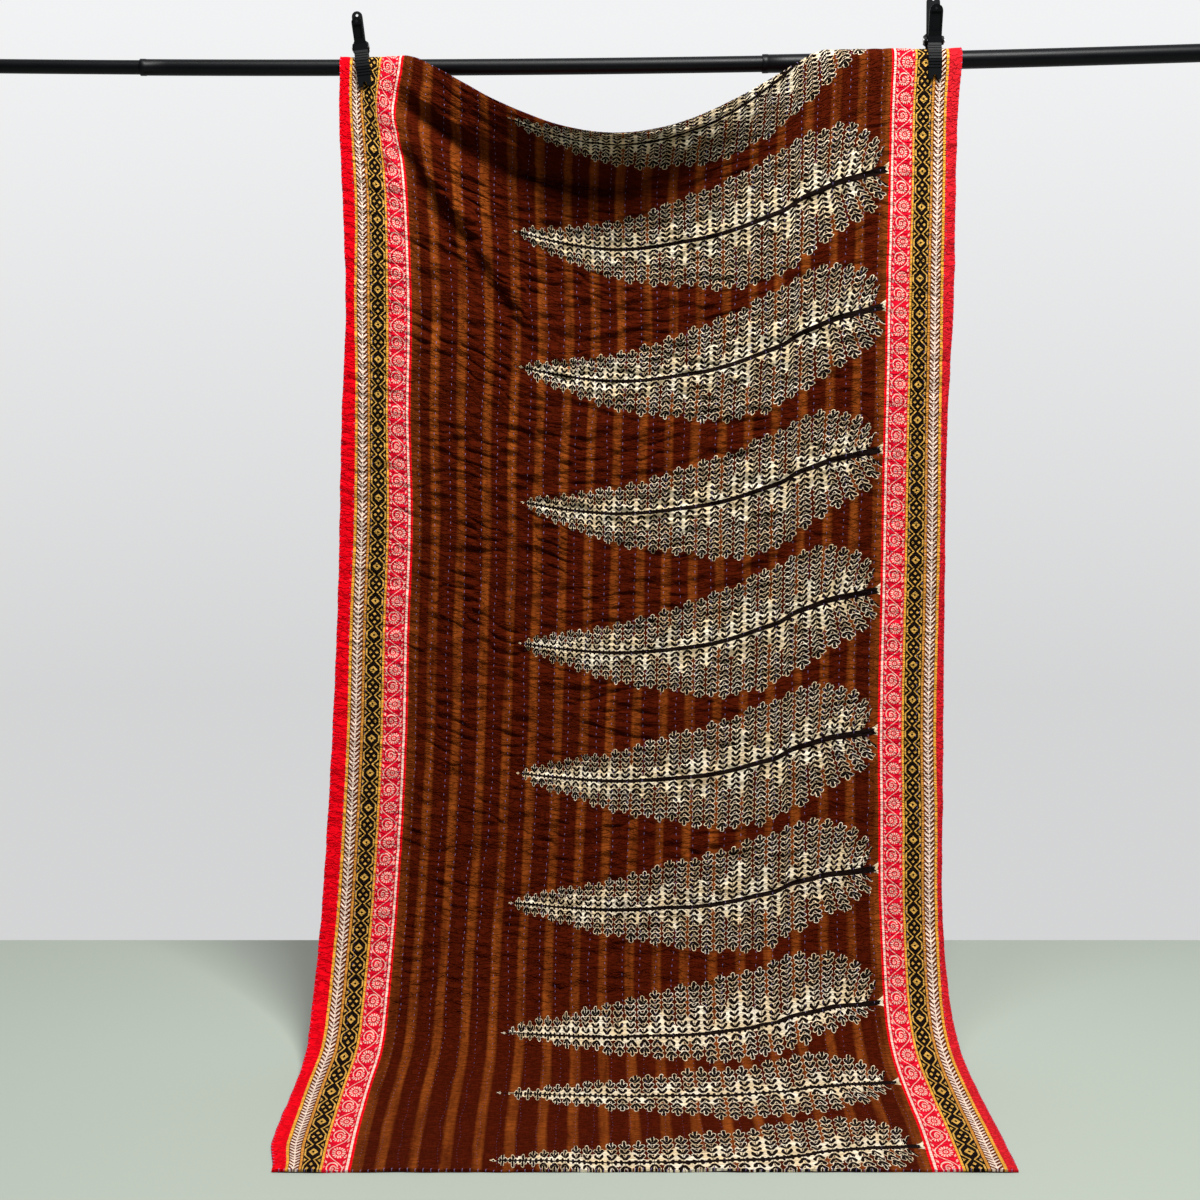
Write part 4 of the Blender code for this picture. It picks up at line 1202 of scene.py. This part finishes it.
def printed_colour(tree):
    """The whole print: field, leaves and borders."""
    x, y = cloth_place(tree)
    x = x - 500.0 * QUILT_WIDTH
    wobble = noise(tree, cloth_vector(tree), 70.0)
    tone = noise(tree, cloth_vector(tree, 8.0, 1.0), 6.0, 3.0)
    streak = noise(tree, cloth_vector(tree, 14.0, 1.0), 45.0, 3.0, 0.6)
    colour = use_group(tree, "Striped field", x, tone, streak)[0]

    column, out, room = attribute_parts(tree, "leaf")
    repeat, size = attribute_parts(tree, "repeat")[:2]
    black, cream = use_group(tree, "Leaf print", column, out, room, size, wobble)
    paleness = ((noise(tree, cloth_vector(tree), 30.0) - 0.42) * 5.0).clamped()
    colour = blend(cream, colour, blend(paleness, CREAM, PALE_CREAM))
    colour = blend(black, colour, BLACK)

    edge = 500.0 * QUILT_WIDTH - abs(x) + (wobble - 0.5) * 1.0
    side = choose(x < 0.0, 1.0, -1.0)
    for start, end, paint in BANDS:
        colour = blend((edge > start) & (edge < end), colour, paint)
    # The right border's plain red is painted darker, as painted shade on that side.
    colour = blend((x > 0.0) & (edge < BANDS[0][1]), colour, SHADED_RIGHT_RED)
    repeat = repeat * 1000.0
    places = {"Chevron band": (repeat + y) * 0.5, "Lozenge band": repeat, "Flower vine": repeat}
    paints = {"Chevron band": CHEVRON_CREAM, "Lozenge band": blend(streak, GOLD, PALE_GOLD),
              "Flower vine": ROSE_CREAM}
    for name, centre, half_width in PATTERNS:
        off = (edge - centre) * side
        mask = use_group(tree, name, off, places[name])[0]
        colour = blend(mask & (abs(off) < half_width), colour, paints[name])
    return colour, x, y


def tinted(tree, colour, amount, factor):
    """A colour made lighter and darker by a factor about one half."""
    node = tree.nodes.new("ShaderNodeHueSaturation")
    feed(node.inputs["Color"], colour)
    feed(node.inputs["Value"], (factor - 0.5) * amount + 1.0)
    return Wire(node.outputs["Color"])


def make_print_material():
    """Printed cotton for the quilt's face."""
    made, tree, shader = new_material("printed_cotton")
    colour, x, y = printed_colour(tree)
    worn = noise(tree, cloth_vector(tree), 14.0, 4.0, 0.6)
    fibre = noise(tree, cloth_vector(tree), 900.0, 2.0)
    colour = tinted(tree, colour, 0.30, worn)
    colour = tinted(tree, colour, 0.22, fibre)
    feed(shader.inputs["Base Color"], colour)
    shader.inputs["Specular IOR Level"].default_value = 0.015
    feed(shader.inputs["Roughness"], fibre * 0.16 + 0.80)
    weave = use_group(tree, "Plain weave", x, y, fibre)[0]
    crinkle = noise(tree, cloth_vector(tree, 1.0, 2.2), 95.0, 4.0, 0.55)
    sharp = noise(tree, cloth_vector(tree, 1.0, 2.6), 42.0, 3.0, 0.5)
    crease = (1.0 - abs(sharp - 0.5) * 15.0).clamped()
    soft = bump(tree, crinkle - crease * 0.8, 1.0, 0.0028)
    feed(shader.inputs["Normal"], bump(tree, weave, 0.35, 0.00035, soft))
    return made


# %% [markdown]
# ## Backing, thread, tube, nylon and steel
# The back is plain dusty red cotton, and the thread shows on it between the stitches of the
# face. The thread is purple-blue. The bar is steel tube in satin black, and the clamps are
# moulded nylon, faintly grained, with pins and springs of plain steel.

# %% Other materials
BACKING_RED = (0.42, 0.060, 0.062)
THREAD_BLUE, THREAD_LIGHT = (0.150, 0.105, 0.290), (0.250, 0.190, 0.400)


def make_backing_material():
    """Plain cotton for the back, with the back stitches drawn in dashes."""
    made, tree, shader = new_material("backing_cotton")
    x, y = cloth_place(tree)
    fibre = noise(tree, cloth_vector(tree), 700.0, 2.0)
    worn = noise(tree, cloth_vector(tree), 9.0, 4.0, 0.6)
    row = (x / (1000.0 * CHANNEL) + 0.5).floor()
    off = abs(x - row * (1000.0 * CHANNEL) + (worn - 0.5) * 3.0)
    dash = ((y / (1000.0 * STITCH_PITCH) + row * 0.618).fraction() < 0.42) & (off < 0.6)
    colour = tinted(tree, blend(dash, BACKING_RED, THREAD_BLUE), 0.5, worn)
    feed(shader.inputs["Base Color"], tinted(tree, colour, 0.25, fibre))
    shader.inputs["Specular IOR Level"].default_value = 0.10
    feed(shader.inputs["Roughness"], fibre * 0.15 + 0.80)
    weave = use_group(tree, "Plain weave", x, y, fibre)[0]
    dip = (1.0 - (off / 4.0).clamped()) * -1.0
    crinkle = noise(tree, cloth_vector(tree, 1.0, 2.0), 90.0, 3.0)
    soft = bump(tree, crinkle + dip * 0.4, 0.8, 0.0016)
    feed(shader.inputs["Normal"], bump(tree, weave, 0.4, 0.0004, soft))
    return made


def object_vector(tree, stretch=(1.0, 1.0, 1.0)):
    """Object coordinates, stretched."""
    source = tree.nodes.new("ShaderNodeTexCoord")
    scaled = tree.nodes.new("ShaderNodeVectorMath")
    scaled.operation = "MULTIPLY"
    feed(scaled.inputs[0], Wire(source.outputs["Object"]))
    scaled.inputs[1].default_value = stretch
    return Wire(scaled.outputs[0])


def make_grained_material(name, dark, light, metallic, shine, roughness, grain, depth, stretch=(1, 1, 1)):
    """A hard surface whose colour, roughness and bump follow one grain."""
    made, tree, shader = new_material(name)
    broad = noise(tree, object_vector(tree), 22.0, 3.0)
    fine = noise(tree, object_vector(tree, stretch), grain, 3.0, 0.6)
    feed(shader.inputs["Base Color"], blend(broad * 0.5 + fine * 0.5, dark, light))
    shader.inputs["Metallic"].default_value = metallic
    shader.inputs["Specular IOR Level"].default_value = shine
    feed(shader.inputs["Roughness"], fine * 0.14 + broad * 0.10 + (roughness - 0.12))
    feed(shader.inputs["Normal"], bump(tree, fine, 0.5, depth))
    return made


def make_thread_material():
    """Twisted cotton thread: a fine slanting ribbing and a little colour change."""
    made, tree, shader = new_material("stitch_thread")
    fine = noise(tree, object_vector(tree), 1500.0, 2.0)
    broad = noise(tree, object_vector(tree), 40.0, 2.0)
    colour = blend(broad, THREAD_BLUE, THREAD_LIGHT)
    feed(shader.inputs["Base Color"], tinted(tree, colour, 0.5, fine))
    feed(shader.inputs["Roughness"], fine * 0.2 + 0.6)
    feed(shader.inputs["Normal"], bump(tree, fine, 0.5, 0.0003))
    return made


PRINTED_COTTON = make_print_material()
BACKING_COTTON = make_backing_material()
STITCH_THREAD = make_thread_material()
BLACK_TUBE = make_grained_material(
    "black_tube", (0.0011, 0.0013, 0.0015), (0.0026, 0.0029, 0.0039),
    0.0, 0.15, 0.40, 500.0, 0.0001)
BLACK_NYLON = make_grained_material(
    "black_nylon", (0.0013, 0.0015, 0.0018), (0.0038, 0.0043, 0.0052),
    0.0, 0.11, 0.50, 1400.0, 0.0002)
PLAIN_STEEL = make_grained_material(
    "plain_steel", (0.36, 0.36, 0.37), (0.50, 0.50, 0.51), 1.0, 0.5, 0.36, 900.0, 0.0001, (1, 1, 6))

# %% [markdown]
# ## Building the strips
# Two strips hold the side borders and four hold the field.

# %% The six strips
STRIPS = (
    # name, first stitch channel, last stitch channel
    ("quilt_border_left", 0, 5), ("quilt_field_left", 5, 12), ("quilt_field_middle_left", 12, 19),
    ("quilt_field_middle_right", 19, 27), ("quilt_field_right", 27, 34), ("quilt_border_right", 34, 39),
)
COTTONS = (PRINTED_COTTON, BACKING_COTTON)
strips = [cloth_strip(name, first, last, COTTONS) for name, first, last in STRIPS]
for strip in strips:
    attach(strip, "root")
    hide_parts("quilt")
    strip.data.calc_loop_triangles()
    print(strip.name, len(strip.data.loop_triangles), "triangles")

# %% [markdown]
# ## Running stitch
# Thirty-eight rows of thread run from hem to hem. Each stitch that shows is about five
# millimetres of thread lying on the face, with its ends dipping into the cloth. One stitch is a
# small four-sided rod; all stitches are built at once as arrays and form a single mesh.

# %% Stitches
THREAD_RADIUS = 0.00050
STITCH_LENGTH = 0.0052
STITCH_LIFT, STITCH_DIP, SUNK_ON_FLOOR = 0.00030, -0.0004, 0.00025
NO_STITCH = 0.008            # the rows stop this far from the hems
HEM_IN, HEM_SKEW, HEM_DIP = 0.0040, 0.0012, 0.0003


def on_cloth(surface, across, along):
    """Points of a grid surface at any place on the cloth, between the four nearest grid points."""
    rows, columns = ACROSS.shape
    r = np.clip(along / QUILT_LENGTH, 0.0, 1.0) * (rows - 1)
    c = np.clip(across / QUILT_WIDTH + 0.5, 0.0, 1.0) * (columns - 1)
    r0 = np.minimum(r.astype(int), rows - 2)
    c0 = np.minimum(c.astype(int), columns - 2)
    s, t = (r - r0)[..., None], (c - c0)[..., None]
    top = surface[r0, c0] * (1.0 - t) + surface[r0, c0 + 1] * t
    low = surface[r0 + 1, c0] * (1.0 - t) + surface[r0 + 1, c0 + 1] * t
    return top * (1.0 - s) + low * s


def thread_mesh(name, paths, ups, radii):
    """Four-sided rods along many short paths, as one closed mesh for each path."""
    count, stations = paths.shape[:2]
    way = unit(np.gradient(paths, axis=1))
    side = unit(np.cross(way, ups))
    top = np.cross(side, way)
    ring = []
    for quarter in range(4):
        turn = 0.5 * math.pi * (quarter + 0.5)
        ring.append(paths + radii[..., None] * (side * math.cos(turn) + top * math.sin(turn)))
    points = np.stack(ring, axis=2).reshape(-1, 3)
    start = (np.arange(count) * stations * 4)[:, None]
    quads = []
    for station in range(stations - 1):
        for quarter in range(4):
            a = station * 4 + quarter
            b = station * 4 + (quarter + 1) % 4
            quads.append(start + [[a, b, b + 4, a + 4]])
    last = 4 * (stations - 1)
    quads.append(start + [[3, 2, 1, 0]])
    quads.append(start + [[last, last + 1, last + 2, last + 3]])
    return add_piece(name, points, [np.concatenate(quads)], [STITCH_THREAD])


def running_stitches():
    """Every stitch of the thirty-eight rows, with uneven lengths and rows that wander a little."""
    dice = np.random.default_rng(77)
    rows = np.repeat(np.arange(1, STITCH_ROWS + 1), int(QUILT_LENGTH / STITCH_PITCH) - 1)
    number = np.tile(np.arange(1, int(QUILT_LENGTH / STITCH_PITCH)), STITCH_ROWS)
    middle = (number + row_phase(rows.astype(float)) + dice.normal(0.0, 0.05, len(rows))) * STITCH_PITCH
    keep = (middle > NO_STITCH) & (middle < QUILT_LENGTH - NO_STITCH)
    rows, middle = rows[keep], middle[keep]
    line = rows * CHANNEL - 0.5 * QUILT_WIDTH
    line = line + row_wander(line, middle) + dice.normal(0.0, 0.00022, len(rows))
    length = STITCH_LENGTH * dice.uniform(0.72, 1.15, len(rows))
    tilt = dice.normal(0.0, 0.00022, len(rows))
    share = np.array([-0.5, 0.0, 0.5])
    along = middle[:, None] + length[:, None] * share
    across = line[:, None] + tilt[:, None] * share * 2.0
    flat = ease((along - 1.70) / 0.15)
    lift = np.array([STITCH_DIP, STITCH_LIFT, STITCH_DIP]) - SUNK_ON_FLOOR * flat
    up = on_cloth(OUTWARD, across, along)
    paths = on_cloth(FACE, across, along) + up * lift[..., None]
    radii = THREAD_RADIUS * np.array([0.75, 1.0, 0.75]) * (1.0 - 0.4 * flat)
    return thread_mesh("running_stitches", paths, up, radii)


def hem_stitches():
    """Short stitches over the four edges: in from the face, over the edge and into the back."""
    parts = []
    side = np.arange(0.020, QUILT_LENGTH - 0.015, HEM_PITCH)
    for sign in (-1.0, 1.0):
        parts.append((np.full(len(side), sign * 0.5 * QUILT_WIDTH), side, -sign, 0.0))
    end = np.arange(-0.5 * QUILT_WIDTH + 0.015, 0.5 * QUILT_WIDTH - 0.010, HEM_PITCH)
    parts.append((end, np.zeros(len(end)), 0.0, 1.0))
    parts.append((end, np.full(len(end), QUILT_LENGTH), 0.0, -1.0))
    paths, ups = [], []
    for across, along, in_a, in_l in parts:
        inner_a = across + in_a * HEM_IN + HEM_SKEW * abs(in_l)
        inner_l = along + in_l * HEM_IN + HEM_SKEW * abs(in_a)
        outside = unit(on_cloth(MIDDLE, across, along) - on_cloth(MIDDLE, inner_a, inner_l))
        face, back = on_cloth(FACE, across, along), on_cloth(BACK, across, along)
        normal = on_cloth(OUTWARD, across, along)
        in_face = on_cloth(FACE, inner_a, inner_l) - normal * HEM_DIP
        in_back = on_cloth(BACK, inner_a, inner_l) + normal * HEM_DIP
        over_face = face + (outside * 0.2 + normal * 0.5) * THREAD_RADIUS
        over_back = back + (outside * 0.2 - normal * 0.5) * THREAD_RADIUS
        paths.append(np.stack([in_face, over_face, over_back, in_back], axis=1))
        ups.append(np.stack([normal, outside, outside, -normal], axis=1))
    paths, ups = np.concatenate(paths), np.concatenate(ups)
    paths[..., 2] = np.maximum(paths[..., 2], FLOOR + THREAD_RADIUS)
    radii = np.broadcast_to(THREAD_RADIUS * np.array([0.8, 1.0, 1.0, 0.8]), paths.shape[:2])
    return thread_mesh("hem_stitches", paths, ups, radii)


for thread in (running_stitches(), hem_stitches()):
    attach(thread, "root")
    thread.data.calc_loop_triangles()
    print(thread.name, len(thread.data.loop_triangles), "triangles")

# %% [markdown]
# ## Bar and clamps
# The bar's tubes keep their CAD places. Their CAD solids have twenty sides, so finer tubes
# stand for them: turned profiles with a rounded mouth and a small collar where a thinner tube
# comes out. The clamps keep their CAD meshes and get the nylon and steel.

# %% Tubes
TUBES = (
    # name, left end, right end, radius
    ("crossbar_thin", -1.200, -0.809, 0.01250),
    ("crossbar_middle", -0.809, 0.285, 0.01425),
    ("crossbar_thick", 0.285, 1.200, 0.01600),
)
TUBE_WALL = 0.0012
TUBE_SIDES = 64
TUBE_INSERT = 0.060
COLLAR_LENGTH, COLLAR_RISE = 0.011, 0.0006
LIP, FINE_LIP = 0.0004, 0.0003               # how much an edge of a tube is rounded off
RING_COUNT = 24              # rings along a tube, so that it follows the bar's slight sag


def turned_tube(name, outline):
    """A ring of outline points turned about the bar's curved axis, closed along the outline."""
    places = np.array(outline)
    turn = np.linspace(0.0, 2.0 * math.pi, TUBE_SIDES, endpoint=False)
    x = np.broadcast_to(places[:, :1], (len(places), TUBE_SIDES))
    radius = places[:, 1:2]
    y = radius * np.cos(turn)
    z = radius * np.sin(turn) + bar_height(x)
    points = np.stack([x, y, z], axis=-1).reshape(-1, 3)
    r, s = np.meshgrid(np.arange(len(places)), np.arange(TUBE_SIDES), indexing="ij")
    r2, s2 = (r + 1) % len(places), (s + 1) % TUBE_SIDES
    here, there = r * TUBE_SIDES, r2 * TUBE_SIDES
    quads = np.stack([here + s, here + s2, there + s2, there + s], axis=-1)
    piece = add_piece(name, points, [quads.reshape(-1, 4)], [BLACK_TUBE])
    piece.data.set_sharp_from_angle(angle=math.radians(40.0))
    return piece


def tube_outline(left, right, radius, has_collar, reaches_in):
    """Outside from left to right, then back along the inside: a thin-walled tube."""
    inside = radius - TUBE_WALL
    end = right + (TUBE_INSERT if reaches_in else 0.0)
    outer = [(left, inside + FINE_LIP), (left + LIP, radius)]
    if has_collar:
        high = radius + COLLAR_RISE
        outer = [(left, inside + FINE_LIP), (left + FINE_LIP, high - LIP), (left + 0.0010, high),
                 (left + COLLAR_LENGTH - 0.0008, high), (left + COLLAR_LENGTH, radius)]
    steps = np.linspace(left + 0.05, end - 0.02, RING_COUNT)
    outer += [(float(x), radius) for x in steps]
    outer += [(end - LIP, radius), (end, radius - LIP)]
    inner = [(end, inside)] + [(float(x), inside) for x in steps[::-1]] + [(left + LIP, inside)]
    return outer + inner


for index, (name, left, right, radius) in enumerate(TUBES):
    outline = tube_outline(left, right, radius, index > 0, index < len(TUBES) - 1)
    tube = turned_tube("tube" + name.removeprefix("crossbar"), outline)
    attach(tube, "root")
    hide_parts(name)

# %% Clamp finish
for name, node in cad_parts.items():
    if not name.startswith("clamp"):
        continue
    finish = PLAIN_STEEL if name.endswith(("pin", "spring")) else BLACK_NYLON
    node.data.materials.clear()
    node.data.materials.append(finish)
print("clamps finished")
